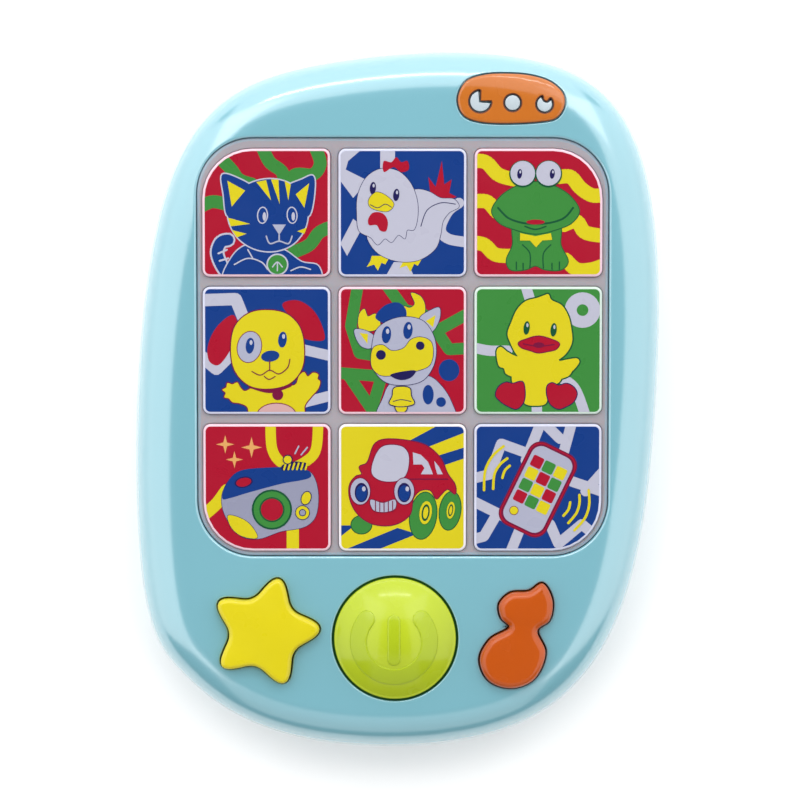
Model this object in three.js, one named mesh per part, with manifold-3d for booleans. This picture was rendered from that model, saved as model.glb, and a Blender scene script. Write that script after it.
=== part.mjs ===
// Kids toy tablet: a two-shell plastic case with nine light-up picture keys in a frosted
// lattice, a star button, a domed power button, a note button, and a battery-powered
// sound board inside.
//
// Millimetres. +X is the toy's right, +Y its top, +Z out of the screen. The origin is the
// middle of the case outline on the plane of the flat back, so the toy lies on z = 0.

import * as THREE from 'three';
import { mergeVertices } from 'three/addons/utils/BufferGeometryUtils.js';
import Module from 'manifold-3d';

const wasm = await Module();
wasm.setup();

// ---------------------------------------------------------------- driving dimensions

const FIT_GAP = 0.3; // between pieces that touch in the real toy
const CUT = 1; // how far a cutter runs past the face it opens
const ROD_SIDES = 8;
const ARC_STEPS = 1; // three.js divides each corner arc into twice this many steps

// Case. The outline is a closed cubic B-spline on these control points.
const OUTLINE_CONTROL = [
  [75, -2.5], [76, 60], [58, 103], [-24.5, 99.5], [-73.5, 81.5],
  [-77.5, -59.5], [-64.5, -78], [-37, -101], [38, -101.5], [68.5, -64.5],
];
const OUTLINE_STEPS = 50;
const WALL = 2.2;
const FACE_Z = 30;
const SEAM_Z = 14;
const FRONT_ROLL = 13; // the flat of the front starts this far in from the outline
const REAR_ROLL = 12;
const ROLL_POWER = 2.4; // superellipse power of the rolled edges
const ROLL_STEPS = 4;

// Screen opening and its grid of keys.
const SCREEN = { left: -56.8, right: 59.8, bottom: -43.5, top: 75.1, corner: 16 };
const KEY_SIZE = 35.9;
const KEY_PITCH_X = 38.4;
const KEY_PITCH_Y = 38.9;
const KEY_MIDDLE = { x: 1.4, y: 15 };
const KEY_CORNER = 2;
const KEY_OUTER_CORNER = 14; // where a corner key follows the screen's corner
const KEY_GAP = 0.2;
const KEY_TRAVEL = 1.2;
const KEY_TOP_Z = FACE_Z + 0.6;
const KEY_WALL = 1.3;
const KEY_FLANGE = 0.8;
const KEY_FLANGE_THICK = 1.2;
const PICTURE_THICK = 0.5;
const LATTICE_TOP_Z = FACE_Z - 0.6;
const LATTICE_THICK = 3.1;
const LATTICE_FLANGE = 1.5;
const KEY_ROWS = [
  ['cat', 'hen', 'frog'],
  ['dog', 'cow', 'duck'],
  ['camera', 'car', 'phone'],
];

// Buttons below the screen.
const BUTTON_GAP = 0.4;
const BUTTON_TRAVEL = 2;
const BUTTON_WALL = 1.5;
const BUTTON_FLANGE = 1.4;
const BUTTON_FLANGE_THICK = 1.5;
const BUTTON_EDGE = 1; // rounding of the top edge
const BUTTON_TOP_Z = FACE_Z + 3.4;
const STEM_RADIUS = 3;
const STAR = {
  x: -37.7, y: -65, tip: 18.7, notch: 9.4, turn: 3, tipRound: 7, notchRound: 3,
};
const DOME = { x: -0.7, y: -67, radius: 17.3, rise: 6.8, gap: 0.7, stems: 9 };
const DOME_STEPS = 4;
const DOME_SIDES = 24;
const NOTE_CONTROL = [
  [31.8, -63.6], [29.5, -61.1], [28.9, -57.2], [32, -54], [37.4, -53.4], [41.2, -51.2],
  [44, -55.9], [43.2, -61.7], [39.8, -64.6], [42.1, -70.9], [38.8, -78.6], [32.4, -81.1],
  [26, -79], [23.4, -73], [26.2, -67.3],
];
const NOTE_BULB = { x: 32.6, y: -72.8 };

// Orange trim set into a pocket at the top right of the case. Three pegs of the case stand
// in its three holes.
const TRIM_CONTROL = [
  [16.9, 86], [19.2, 90.8], [24.2, 92.7], [31, 93.1], [38, 92.5], [43.6, 90.5], [46.8, 87.2],
  [47, 83.8], [44.8, 80.5], [40, 79.4], [23, 79.4], [18.4, 81.4],
];
const TRIM_HOLES = [
  { x: 23.3, y: 85.2, radius: 3.15 },
  { x: 32.4, y: 84.8, radius: 2.4 },
  { x: 41.4, y: 84.4, radius: 2.4 },
];
const TRIM_BITE = { x: 42, y: 86.2, radius: 1.1 }; // fills the top of the third hole
const TRIM_PROUD = 0.6;
const TRIM_PEG_PROUD = 0.4;
const TRIM_POCKET = 1.1;

// Screws, pillars and posts.
const CASE_SCREWS = {
  top_left: [-36, 82], top_right: [52, 80], middle_left: [-64.5, 5],
  middle_right: [65.5, 5], bottom_left: [-58, -62], bottom_right: [55, -62],
};
const CASE_SCREW = { head: 2.7, headBottom: 1.4, headTop: 3.1, shank: 1.1, top: 20 };
const PILLAR_RADIUS = 3.4;
const SCREW_WELL_RADIUS = 3;
const SCREW_WELL_DEPTH = 3.4;
const SHANK_CLEARANCE = 0.35;
const BOARD_SCREWS = {
  upper_left: [-61.5, 45], lower_left: [-61.5, -30],
  upper_right: [64.5, 45], lower_right: [64.5, -30],
};
const BOARD_SCREW = { head: 2.1, headBottom: 17.9, headTop: 19.4, shank: 1, top: 24 };
const POST_RADIUS = 2.5;

// Circuit board and rubber mats.
const BOARD = { bottom: 19.7, top: 21.3, inset: 1 };
const BOARD_TONGUE = { left: -46, right: 43, bottom: -82, corner: 8 };
const BOARD_EAR = 5.6;
const MAT_Z = BOARD.top + FIT_GAP;
const MAT_THICK = 0.9;
const KEY_FLANGE_TOP = LATTICE_TOP_Z - LATTICE_THICK - FIT_GAP;
const KEY_MAT_TOP = KEY_FLANGE_TOP - KEY_FLANGE_THICK - KEY_TRAVEL - FIT_GAP;
const KEY_PAD = 26;
const KEY_WINDOW = 9;
const KEY_LED = { size: 3.2, top: 22.2 };
const CHIP = { x: 30, y: -10, radius: 6, thick: 1.1 };
const BUTTON_MAT_TOP = 22.6;
const BUTTON_PAD_RADIUS = 4;
const DOME_LED = { radius: 1.5, top: 25.4 };

// Battery compartment, door and cells (three AAA cells side by side).
const CELL = { radius: 5.25, length: 44.5, pitch: 11.4, z: 8.1, nub: 1.2, nubRadius: 2 };
const BAY = { halfX: 17.5, halfY: 26.5, roof: 14.4, wall: 1.6 };
const DOOR = { halfX: 19, top: 30, bottom: -37, thick: 1.6, recess: 2.2 };
const DOOR_LEDGE = { margin: 2.5, top: 4 };
const DOOR_TAB = { x: 11, width: 6, reach: 2.2, low: 0.9, slotReach: 3.2, slotTop: 5 };
const DOOR_SCREW = { y: -32, head: 2.6, headBottom: 0.5, headTop: 1.6, shank: 1.2, top: 8 };
const DOOR_BOSS = { radius: 4.2, top: 3.6, wellRadius: 3, wellTop: 1.9 };
const DOOR_SCREW_BLOCK = { halfX: 6, top: 10.5 };
const DOOR_SCREW_HOLE = 1.9;
const CONTACT = { thick: 0.5, halfWidth: 4, low: 4, high: 12.4, spring: 3.4, springTip: 2 };
const TAG = { width: 3, top: 17.4, slotWidth: 4.2, slotThick: 1.8 };

// Speaker, facing the grille in the back.
const SPEAKER = {
  x: 0, y: 57, radius: 18, bottom: 2.5, depth: 5.6, rim: 2.4, hub: 9.6, thick: 1.2,
  magnet: { radius: 8, thick: 3.7 },
};
const SPEAKER_WALL = { thick: 1.4, top: 6.5 };
const GRILLE = { slots: 7, pitch: 4.4, width: 1.8, radius: 15 };

// Wires.
const WIRE_RADIUS = 0.6;
const WIRE_SIDES = 6;
const WIRE_STEP = 3;
const WIRE_Z = TAG.top + FIT_GAP;
const WIRE_END_Z = BOARD.bottom - FIT_GAP - WIRE_RADIUS;

const COLOURS = {
  blue: 0x8ac0d1, frosted: 0xb6b0c0, clear: 0xd8dbe4, print: 0xbe0037, yellow: 0xecda2e,
  green: 0xb7c730, note: 0xcb5c18, trim: 0xc8692c, board: 0x2f6b3a, rubber: 0xb8b8ba,
  steel: 0xb4b6ba, cell: 0x3c6e4a, nickel: 0xc8c8c4, black: 0x2a2a2c, paper: 0x4a4744,
  red: 0xb02020, led: 0xe8f0f4,
};

// ------------------------------------------------------------------- solid modelling

/** A closed three.js geometry as a manifold solid. */
function solidOf(geometry) {
  geometry.deleteAttribute('normal');
  geometry.deleteAttribute('uv');
  const merged = mergeVertices(geometry);
  return new wasm.Manifold(new wasm.Mesh({
    numProp: 3,
    vertProperties: new Float32Array(merged.attributes.position.array),
    triVerts: new Uint32Array(merged.index.array),
  }));
}

/** A manifold solid as a three.js geometry. */
function geometryOf(solid) {
  const mesh = solid.getMesh();
  const geometry = new THREE.BufferGeometry();
  geometry.setAttribute('position', new THREE.BufferAttribute(mesh.vertProperties, 3));
  geometry.setIndex(new THREE.BufferAttribute(mesh.triVerts, 1));
  geometry.computeVertexNormals();
  return geometry;
}

const joinAll = (first, ...others) => others.reduce((sum, solid) => sum.add(solid), first);
const cutAll = (first, cutters) => cutters.reduce((rest, cutter) => rest.subtract(cutter), first);

/** An upright prism on a closed shape or list of points. */
function prism(outline, low, high, curveSegments = ARC_STEPS) {
  const shape = outline instanceof THREE.Shape ? outline : new THREE.Shape(outline);
  const geometry = new THREE.ExtrudeGeometry(shape, {
    depth: high - low, bevelEnabled: false, curveSegments,
  });
  return solidOf(geometry.translate(0, 0, low));
}

/** A box between two opposite corners. */
function box([x0, y0, z0], [x1, y1, z1]) {
  const geometry = new THREE.BoxGeometry(x1 - x0, y1 - y0, z1 - z0);
  return solidOf(geometry.translate((x0 + x1) / 2, (y0 + y1) / 2, (z0 + z1) / 2));
}

/** An upright cylinder, or a cone when its two radii differ. */
function rod(x, y, low, high, radius, sides = ROD_SIDES, topRadius = radius) {
  const geometry = new THREE.CylinderGeometry(topRadius, radius, high - low, sides);
  return solidOf(geometry.rotateX(Math.PI / 2).translate(x, y, (low + high) / 2));
}

/** A solid of revolution about the upright axis through (x, y); profile is [radius, z]. */
function revolve(x, y, profile, sides = 16) {
  const points = profile.map(([radius, z]) => new THREE.Vector2(radius, z));
  const geometry = new THREE.LatheGeometry(points, sides);
  return solidOf(geometry.rotateX(Math.PI / 2).translate(x, y, 0));
}

/** A solid lofted through rings of equal point counts, from the lowest ring to the highest. */
function loft(rings) {
  const count = rings[0].points.length;
  const position = rings.flatMap(({ points, z }) => points.flatMap((p) => [p.x, p.y, z]));
  const index = [];
  for (let ring = 0; ring + 1 < rings.length; ring += 1) {
    for (let i = 0; i < count; i += 1) {
      const next = (i + 1) % count;
      const [a, b] = [ring * count + i, ring * count + next];
      index.push(a, b, b + count, a, b + count, a + count);
    }
  }
  const top = (rings.length - 1) * count;
  for (const [a, b, c] of THREE.ShapeUtils.triangulateShape(rings[0].points, [])) {
    index.push(a, c, b);
  }
  for (const [a, b, c] of THREE.ShapeUtils.triangulateShape(rings.at(-1).points, [])) {
    index.push(top + a, top + b, top + c);
  }
  const geometry = new THREE.BufferGeometry();
  geometry.setAttribute('position', new THREE.Float32BufferAttribute(position, 3));
  geometry.setIndex(index);
  return solidOf(geometry);
}

// ---------------------------------------------------------------------- flat outlines

/** A point of the case outline and its outward normal; t runs from 0 to 1. */
function outlineAt(t) {
  const count = OUTLINE_CONTROL.length;
  const span = Math.floor(t * count);
  const u = t * count - span;
  const place = [(1 - u) ** 3, 3 * u ** 3 - 6 * u ** 2 + 4, -3 * u ** 3 + 3 * u ** 2 + 3 * u + 1, u ** 3];
  const slope = [-((1 - u) ** 2), 3 * u ** 2 - 4 * u, -3 * u ** 2 + 2 * u + 1, u ** 2];
  const point = new THREE.Vector2();
  const along = new THREE.Vector2();
  for (let k = 0; k < 4; k += 1) {
    const control = new THREE.Vector2(...OUTLINE_CONTROL[(span + k - 1 + count) % count]);
    point.addScaledVector(control, place[k] / 6);
    along.addScaledVector(control, slope[k] / 2);
  }
  return { point, normal: new THREE.Vector2(along.y, -along.x).normalize() };
}

/** The case outline moved inwards by inset. */
function caseOutline(inset) {
  return Array.from({ length: OUTLINE_STEPS }, (_, i) => {
    const { point, normal } = outlineAt(i / OUTLINE_STEPS);
    return point.addScaledVector(normal, -inset);
  });
}

/** A closed smooth curve through hand-placed points, counter-clockwise. */
function smoothOutline(control, steps) {
  const knots = control.map(([x, y]) => new THREE.Vector3(x, y, 0));
  const curve = new THREE.CatmullRomCurve3(knots, true, 'centripetal');
  const points = curve.getPoints(steps).slice(0, steps).map((p) => new THREE.Vector2(p.x, p.y));
  return THREE.ShapeUtils.isClockWise(points) ? points.reverse() : points;
}

/** A counter-clockwise outline moved outwards by distance. */
function grow(points, distance) {
  const count = points.length;
  return points.map((point, i) => {
    const along = points[(i + 1) % count].clone().sub(points[(i + count - 1) % count]).normalize();
    return point.clone().addScaledVector(new THREE.Vector2(along.y, -along.x), distance);
  });
}

/** A rectangle with its own radius at the top right, top left, bottom left and bottom right. */
function roundedRect(left, bottom, right, top, radii) {
  const [topRight, topLeft, bottomLeft, bottomRight] = radii;
  const quarter = Math.PI / 2;
  const shape = new THREE.Shape();
  shape.absarc(right - topRight, top - topRight, topRight, 0, quarter);
  shape.absarc(left + topLeft, top - topLeft, topLeft, quarter, 2 * quarter);
  shape.absarc(left + bottomLeft, bottom + bottomLeft, bottomLeft, 2 * quarter, 3 * quarter);
  shape.absarc(right - bottomRight, bottom + bottomRight, bottomRight, 3 * quarter, 4 * quarter);
  return shape;
}

/** The screen opening, grown outwards by more. */
function screenOutline(more) {
  const { left, right, bottom, top, corner } = SCREEN;
  const radii = Array(4).fill(corner + more);
  return roundedRect(left - more, bottom - more, right + more, top + more, radii);
}

/** The middle of the key in a row, from the top, and a column, from the left. */
function keyMiddle(row, column) {
  return {
    x: KEY_MIDDLE.x + (column - 1) * KEY_PITCH_X,
    y: KEY_MIDDLE.y - (row - 1) * KEY_PITCH_Y,
  };
}

/** The outline of one key, grown outwards by more. */
function keyOutline(row, column, more) {
  const { x, y } = keyMiddle(row, column);
  const half = KEY_SIZE / 2 + more;
  const isOuter = [
    row === 0 && column === 2, row === 0 && column === 0,
    row === 2 && column === 0, row === 2 && column === 2,
  ];
  const least = 0.6;
  const radii = isOuter.map((outer) => Math.max((outer ? KEY_OUTER_CORNER : KEY_CORNER) + more, least));
  return roundedRect(x - half, y - half, x + half, y + half, radii);
}

/** The star's outline: five tips and notches, each rounded off by a quadratic curve. */
function starOutline() {
  const corners = [];
  for (let k = 0; k < 10; k += 1) {
    const isTip = k % 2 === 0;
    const angle = THREE.MathUtils.degToRad(STAR.turn + 36 * k);
    const radius = isTip ? STAR.tip : STAR.notch;
    const at = new THREE.Vector2(STAR.x + radius * Math.cos(angle), STAR.y + radius * Math.sin(angle));
    corners.push({ at, round: isTip ? STAR.tipRound : STAR.notchRound });
  }
  const points = [];
  corners.forEach(({ at, round }, k) => {
    const before = corners[(k + 9) % 10].at.clone().sub(at).setLength(round).add(at);
    const after = corners[(k + 1) % 10].at.clone().sub(at).setLength(round).add(at);
    points.push(...new THREE.QuadraticBezierCurve(before, at, after).getPoints(2));
  });
  return points;
}

const STAR_OUTLINE = starOutline();
const NOTE_OUTLINE = smoothOutline(NOTE_CONTROL, 30);
const TRIM_OUTLINE = smoothOutline(TRIM_CONTROL, 22);

// ------------------------------------------------------------------------------ case

/** Half of the pillow-shaped case as a solid, from the seam to a face, grown by more. */
function halfPillow(faceZ, roll, more, seamOffset) {
  const outwards = Math.sign(faceZ - SEAM_Z);
  const rise = faceZ + outwards * more - SEAM_Z;
  const rings = [{ points: caseOutline(-more), z: SEAM_Z + outwards * seamOffset }];
  for (let step = 1; step <= ROLL_STEPS; step += 1) {
    const angle = (step / ROLL_STEPS) * (Math.PI / 2);
    const across = 1 - Math.cos(angle) ** (2 / ROLL_POWER);
    const up = Math.sin(angle) ** (2 / ROLL_POWER);
    rings.push({ points: caseOutline(-more + (roll + more) * across), z: SEAM_Z + rise * up });
  }
  return loft(outwards > 0 ? rings : rings.reverse());
}

const frontPillow = (more, seamOffset = FIT_GAP / 2) => halfPillow(FACE_Z, FRONT_ROLL, more, seamOffset);
const rearPillow = (more, seamOffset = FIT_GAP / 2) => halfPillow(0, REAR_ROLL, more, seamOffset);

/** The trim's three holes as upright solids, narrowed by less all round. */
function trimHoles(less) {
  const [low, high] = [SEAM_Z, FACE_Z + CUT];
  const holes = TRIM_HOLES.map(({ x, y, radius }) => rod(x, y, low, high, radius - less, 12));
  const notched = TRIM_HOLES[0];
  const reach = notched.radius + CUT;
  const quarter = box(
    [notched.x - less, notched.y - less, low],
    [notched.x + reach, notched.y + reach, high],
  );
  const bite = rod(TRIM_BITE.x, TRIM_BITE.y, low, high, TRIM_BITE.radius + less);
  return [holes[0].subtract(quarter), holes[1], holes[2].subtract(bite)];
}

function makeFrontShell() {
  const skin = frontPillow(0).subtract(frontPillow(-WALL, -CUT));
  const room = frontPillow(-WALL / 2);
  const bosses = Object.values(CASE_SCREWS).map(([x, y]) =>
    rod(x, y, SEAM_Z + FIT_GAP / 2, FACE_Z, PILLAR_RADIUS).intersect(room));
  const posts = Object.values(BOARD_SCREWS).map(([x, y]) =>
    rod(x, y, BOARD.top + FIT_GAP, FACE_Z, POST_RADIUS).intersect(room));
  const trimPocket = prism(grow(TRIM_OUTLINE, FIT_GAP), SEAM_Z, FACE_Z + CUT)
    .subtract(frontPillow(-TRIM_POCKET));
  const pegs = trimHoles(FIT_GAP).map((peg) =>
    peg.intersect(frontPillow(TRIM_PEG_PROUD)).subtract(frontPillow(-WALL / 2)));
  const bossHole = CASE_SCREW.shank + SHANK_CLEARANCE;
  const postHole = BOARD_SCREW.shank + SHANK_CLEARANCE;
  const opened = cutAll(joinAll(skin, ...bosses, ...posts), [
    prism(screenOutline(0), SEAM_Z, FACE_Z + CUT),
    prism(grow(STAR_OUTLINE, BUTTON_GAP), SEAM_Z, FACE_Z + CUT),
    prism(grow(NOTE_OUTLINE, BUTTON_GAP), SEAM_Z, FACE_Z + CUT),
    rod(DOME.x, DOME.y, SEAM_Z, FACE_Z + CUT, DOME.radius + DOME.gap, DOME_SIDES),
    trimPocket,
    ...Object.values(CASE_SCREWS).map(([x, y]) => rod(x, y, 0, CASE_SCREW.top + CUT, bossHole)),
    ...Object.values(BOARD_SCREWS).map(([x, y]) => rod(x, y, 0, BOARD_SCREW.top + CUT, postHole)),
  ]);
  return joinAll(opened, ...pegs);
}

/** The grille's slots, as cutters; their lengths follow a circle. */
function grilleSlots() {
  return Array.from({ length: GRILLE.slots }, (_, i) => {
    const y = (i - (GRILLE.slots - 1) / 2) * GRILLE.pitch;
    const halfLength = Math.sqrt(GRILLE.radius ** 2 - y ** 2);
    const halfWidth = GRILLE.width / 2;
    const slot = roundedRect(
      SPEAKER.x - halfLength, SPEAKER.y + y - halfWidth,
      SPEAKER.x + halfLength, SPEAKER.y + y + halfWidth, Array(4).fill(halfWidth),
    );
    return prism(slot, -CUT, WALL + CUT);
  });
}

function makeRearShell() {
  const skin = rearPillow(0).subtract(rearPillow(-WALL, -CUT));
  const pillars = Object.values(CASE_SCREWS).map(([x, y]) =>
    rod(x, y, 0, SEAM_Z - FIT_GAP / 2, PILLAR_RADIUS + 1).intersect(rearPillow(0)));
  const ledge = DOOR_LEDGE.margin;
  const bayX = BAY.halfX + BAY.wall;
  const bayY = BAY.halfY + BAY.wall;
  const bay = joinAll(
    box(
      [-DOOR.halfX - ledge, DOOR.bottom - ledge, 0],
      [DOOR.halfX + ledge, DOOR.top + 2 * ledge, DOOR_LEDGE.top],
    ),
    box([-bayX, -bayY, 0], [bayX, bayY, BAY.roof + BAY.wall]),
    box(
      [-DOOR_SCREW_BLOCK.halfX, DOOR.bottom, 0],
      [DOOR_SCREW_BLOCK.halfX, -BAY.halfY, DOOR_SCREW_BLOCK.top],
    ),
  );
  const seat = SPEAKER.radius + FIT_GAP;
  const speakerWall = rod(
    SPEAKER.x, SPEAKER.y, WALL / 2, SPEAKER_WALL.top, seat + SPEAKER_WALL.thick, 16,
  ).subtract(rod(SPEAKER.x, SPEAKER.y, 0, SPEAKER_WALL.top + CUT, seat, 16));
  const tabSlots = [-DOOR_TAB.x, DOOR_TAB.x].map((x) => {
    const half = DOOR_TAB.width / 2 + FIT_GAP;
    return box(
      [x - half, DOOR.top - CUT, DOOR_TAB.low - FIT_GAP],
      [x + half, DOOR.top + DOOR_TAB.slotReach, DOOR_TAB.slotTop],
    );
  });
  const tagSlots = [[-CELL.pitch, 1], [CELL.pitch, -1]].map(([x, end]) => {
    const y = end * contactMiddleY();
    return box(
      [x - TAG.slotWidth / 2, y - TAG.slotThick / 2, BAY.roof - CUT],
      [x + TAG.slotWidth / 2, y + TAG.slotThick / 2, BAY.roof + BAY.wall + CUT],
    );
  });
  const shankHole = CASE_SCREW.shank + SHANK_CLEARANCE;
  return cutAll(joinAll(skin, ...pillars, bay, speakerWall), [
    box([-DOOR.halfX, DOOR.bottom, -CUT], [DOOR.halfX, DOOR.top, DOOR.recess]),
    box([-BAY.halfX, -BAY.halfY, -CUT], [BAY.halfX, BAY.halfY, BAY.roof]),
    rod(0, DOOR_SCREW.y, 0, DOOR_BOSS.top + FIT_GAP, DOOR_BOSS.radius + FIT_GAP),
    rod(0, DOOR_SCREW.y, 0, DOOR_SCREW.top + CUT, DOOR_SCREW_HOLE),
    ...tabSlots,
    ...tagSlots,
    ...grilleSlots(),
    ...Object.values(CASE_SCREWS).flatMap(([x, y]) => [
      rod(x, y, -CUT, SCREW_WELL_DEPTH, SCREW_WELL_RADIUS),
      rod(x, y, 0, SEAM_Z + CUT, shankHole),
    ]),
  ]);
}

function makeTrim() {
  return cutAll(prism(TRIM_OUTLINE, SEAM_Z, FACE_Z + CUT), trimHoles(0))
    .intersect(frontPillow(TRIM_PROUD))
    .subtract(frontPillow(FIT_GAP - TRIM_POCKET));
}

// ---------------------------------------------------------------------- screen and keys

function makeLattice() {
  const bottom = LATTICE_TOP_Z - LATTICE_THICK;
  const underside = frontPillow(-WALL - FIT_GAP);
  const flange = prism(screenOutline(LATTICE_FLANGE), bottom, FACE_Z).intersect(underside);
  const plate = prism(screenOutline(-FIT_GAP), bottom, LATTICE_TOP_Z);
  const holes = KEY_ROWS.flatMap((names, row) => names.map((name, column) =>
    prism(keyOutline(row, column, KEY_GAP), bottom - CUT, FACE_Z + CUT)));
  return cutAll(plate.add(flange), holes);
}

function makeKey(row, column) {
  const low = KEY_FLANGE_TOP - KEY_FLANGE_THICK;
  const cap = prism(keyOutline(row, column, 0), low, KEY_TOP_Z);
  const flange = prism(keyOutline(row, column, KEY_FLANGE), low, KEY_FLANGE_TOP);
  const pocket = prism(keyOutline(row, column, -KEY_WALL), low - CUT, KEY_TOP_Z - KEY_WALL);
  return cap.add(flange).subtract(pocket);
}

function makePicture(row, column) {
  const top = KEY_TOP_Z - KEY_WALL - FIT_GAP;
  return prism(keyOutline(row, column, -KEY_WALL - FIT_GAP), top - PICTURE_THICK, top);
}

// ----------------------------------------------------------------------------- buttons

const FLANGE_TOP = FACE_Z - WALL - BUTTON_GAP;
const FLANGE_LOW = FLANGE_TOP - BUTTON_FLANGE_THICK;
const STEM_LOW = BUTTON_MAT_TOP + BUTTON_TRAVEL + FIT_GAP;

/** A hollow push button on an outline, with a flange under the case and one stem. */
function makeButton(outline, stem) {
  const roof = BUTTON_TOP_Z - BUTTON_WALL;
  const cap = loft([
    { points: outline, z: FLANGE_LOW },
    { points: outline, z: BUTTON_TOP_Z - BUTTON_EDGE },
    { points: grow(outline, -BUTTON_EDGE * 0.3), z: BUTTON_TOP_Z - BUTTON_EDGE * 0.3 },
    { points: grow(outline, -BUTTON_EDGE), z: BUTTON_TOP_Z },
  ]);
  const flange = prism(grow(outline, BUTTON_FLANGE), FLANGE_LOW, FLANGE_TOP)
    .intersect(frontPillow(-WALL - FIT_GAP));
  const hollow = prism(grow(outline, -BUTTON_WALL), FLANGE_LOW - CUT, roof);
  const push = rod(stem.x, stem.y, STEM_LOW, roof + BUTTON_WALL / 2, STEM_RADIUS);
  return cap.add(flange).subtract(hollow).add(push);
}

/** A solid spherical cap on a cylinder that starts at low, inset from the dome's surface. */
function domeSolid(inset, low) {
  const radius = DOME.radius - inset;
  const sphere = (DOME.radius ** 2 + DOME.rise ** 2) / (2 * DOME.rise) - inset;
  const middle = FACE_Z + FIT_GAP + DOME.rise - sphere - inset;
  const edgeAngle = Math.asin(radius / sphere);
  const arc = Array.from({ length: DOME_STEPS }, (_, i) => {
    const angle = edgeAngle * (1 - i / DOME_STEPS);
    return [sphere * Math.sin(angle), middle + sphere * Math.cos(angle)];
  });
  return revolve(DOME.x, DOME.y, [[0, low], [radius, low], ...arc, [0, middle + sphere]], DOME_SIDES);
}

/** The domed power button: a spherical cap on a short skirt, pressed on two stems. */
function makeDome() {
  const flange = rod(DOME.x, DOME.y, FLANGE_LOW, FLANGE_TOP, DOME.radius + BUTTON_FLANGE, DOME_SIDES);
  const stems = [-DOME.stems, DOME.stems].map((offset) =>
    rod(DOME.x + offset, DOME.y, STEM_LOW, BUTTON_TOP_Z + DOME.rise, STEM_RADIUS)
      .intersect(domeSolid(BUTTON_WALL / 2, STEM_LOW)));
  const shell = domeSolid(0, FLANGE_LOW).add(flange).subtract(domeSolid(BUTTON_WALL, FLANGE_LOW - CUT));
  return joinAll(shell, ...stems);
}

// --------------------------------------------------------------------- board and mats

function makeBoard() {
  const { left, right, bottom, top, corner } = SCREEN;
  const { bottom: low, top: high, inset } = BOARD;
  const main = roundedRect(
    left + inset, bottom + inset, right - inset, top - inset, Array(4).fill(corner),
  );
  const tongue = roundedRect(
    BOARD_TONGUE.left, BOARD_TONGUE.bottom, BOARD_TONGUE.right, bottom + corner,
    Array(4).fill(BOARD_TONGUE.corner),
  );
  const half = BOARD_EAR / 2;
  const ears = Object.values(BOARD_SCREWS).map(([x, y]) => {
    const reach = x - Math.sign(x) * 2 * BOARD_EAR;
    const tip = x + Math.sign(x) * half;
    return box([Math.min(reach, tip), y - half, low], [Math.max(reach, tip), y + half, high]);
  });
  const leds = KEY_ROWS.flatMap((names, row) => names.map((name, column) => {
    const { x, y } = keyMiddle(row, column);
    const edge = KEY_LED.size / 2;
    return box([x - edge, y - edge, low], [x + edge, y + edge, KEY_LED.top]);
  }));
  const chip = rod(CHIP.x, CHIP.y, low - CHIP.thick, high, CHIP.radius);
  const plate = joinAll(prism(main, low, high), prism(tongue, low, high), ...ears, ...leds, chip);
  const holes = Object.values(BOARD_SCREWS).map(([x, y]) =>
    rod(x, y, low - CUT, high + CUT, BOARD_SCREW.shank + SHANK_CLEARANCE));
  return cutAll(plate, holes);
}

function makeKeyMat() {
  const { left, right, bottom, top, corner } = SCREEN;
  const inset = 2 * BOARD.inset;
  const sheet = roundedRect(
    left + inset, bottom + inset, right - inset, top - inset, Array(4).fill(corner - inset),
  );
  const square = (x, y, side, low, high) =>
    box([x - side / 2, y - side / 2, low], [x + side / 2, y + side / 2, high]);
  const middles = KEY_ROWS.flatMap((names, row) => names.map((name, column) => keyMiddle(row, column)));
  const pads = middles.map(({ x, y }) => square(x, y, KEY_PAD, MAT_Z, KEY_MAT_TOP));
  const windows = middles.map(({ x, y }) => square(x, y, KEY_WINDOW, MAT_Z - CUT, KEY_MAT_TOP + CUT));
  return cutAll(joinAll(prism(sheet, MAT_Z, MAT_Z + MAT_THICK), ...pads), windows);
}

function makeButtonMat() {
  const { left, right, bottom, corner } = BOARD_TONGUE;
  const sheet = roundedRect(left + 1, bottom + 1, right - 1, SCREEN.bottom - 2, Array(4).fill(corner - 1));
  const presses = [
    STAR, NOTE_BULB, { x: DOME.x - DOME.stems, y: DOME.y }, { x: DOME.x + DOME.stems, y: DOME.y },
  ];
  const pads = presses.map(({ x, y }) =>
    rod(x, y, MAT_Z, BUTTON_MAT_TOP, BUTTON_PAD_RADIUS + 1, ROD_SIDES, BUTTON_PAD_RADIUS));
  const ledHole = rod(DOME.x, DOME.y, MAT_Z - CUT, BUTTON_MAT_TOP + CUT, DOME_LED.radius + 1);
  return joinAll(prism(sheet, MAT_Z, MAT_Z + MAT_THICK / 2), ...pads).subtract(ledHole);
}

function makeDomeLed() {
  const { radius, top } = DOME_LED;
  return revolve(DOME.x, DOME.y, [
    [0, MAT_Z], [radius + 0.3, MAT_Z], [radius + 0.3, MAT_Z + 0.8], [radius, MAT_Z + 0.8],
    [radius, top - radius], [radius * 0.7, top - radius * 0.3], [0, top],
  ], ROD_SIDES);
}

// ------------------------------------------------------------------- power and sound

/** The y of the contact plates' middle plane, at the bay's top end. */
function contactMiddleY() {
  return BAY.halfY - FIT_GAP - CONTACT.thick / 2;
}

/** One cell lying along Y; its nub points to the end given by nubEnd (+1 or -1). */
function makeCell(x, nubEnd) {
  const half = CELL.length / 2;
  const can = new THREE.CylinderGeometry(CELL.radius, CELL.radius, CELL.length - CELL.nub, 16);
  const nub = new THREE.CylinderGeometry(CELL.nubRadius, CELL.nubRadius, CELL.nub * 2, 8);
  can.translate(x, -nubEnd * CELL.nub / 2, CELL.z);
  nub.translate(x, nubEnd * (half - CELL.nub), CELL.z);
  return solidOf(can).add(solidOf(nub));
}

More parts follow.
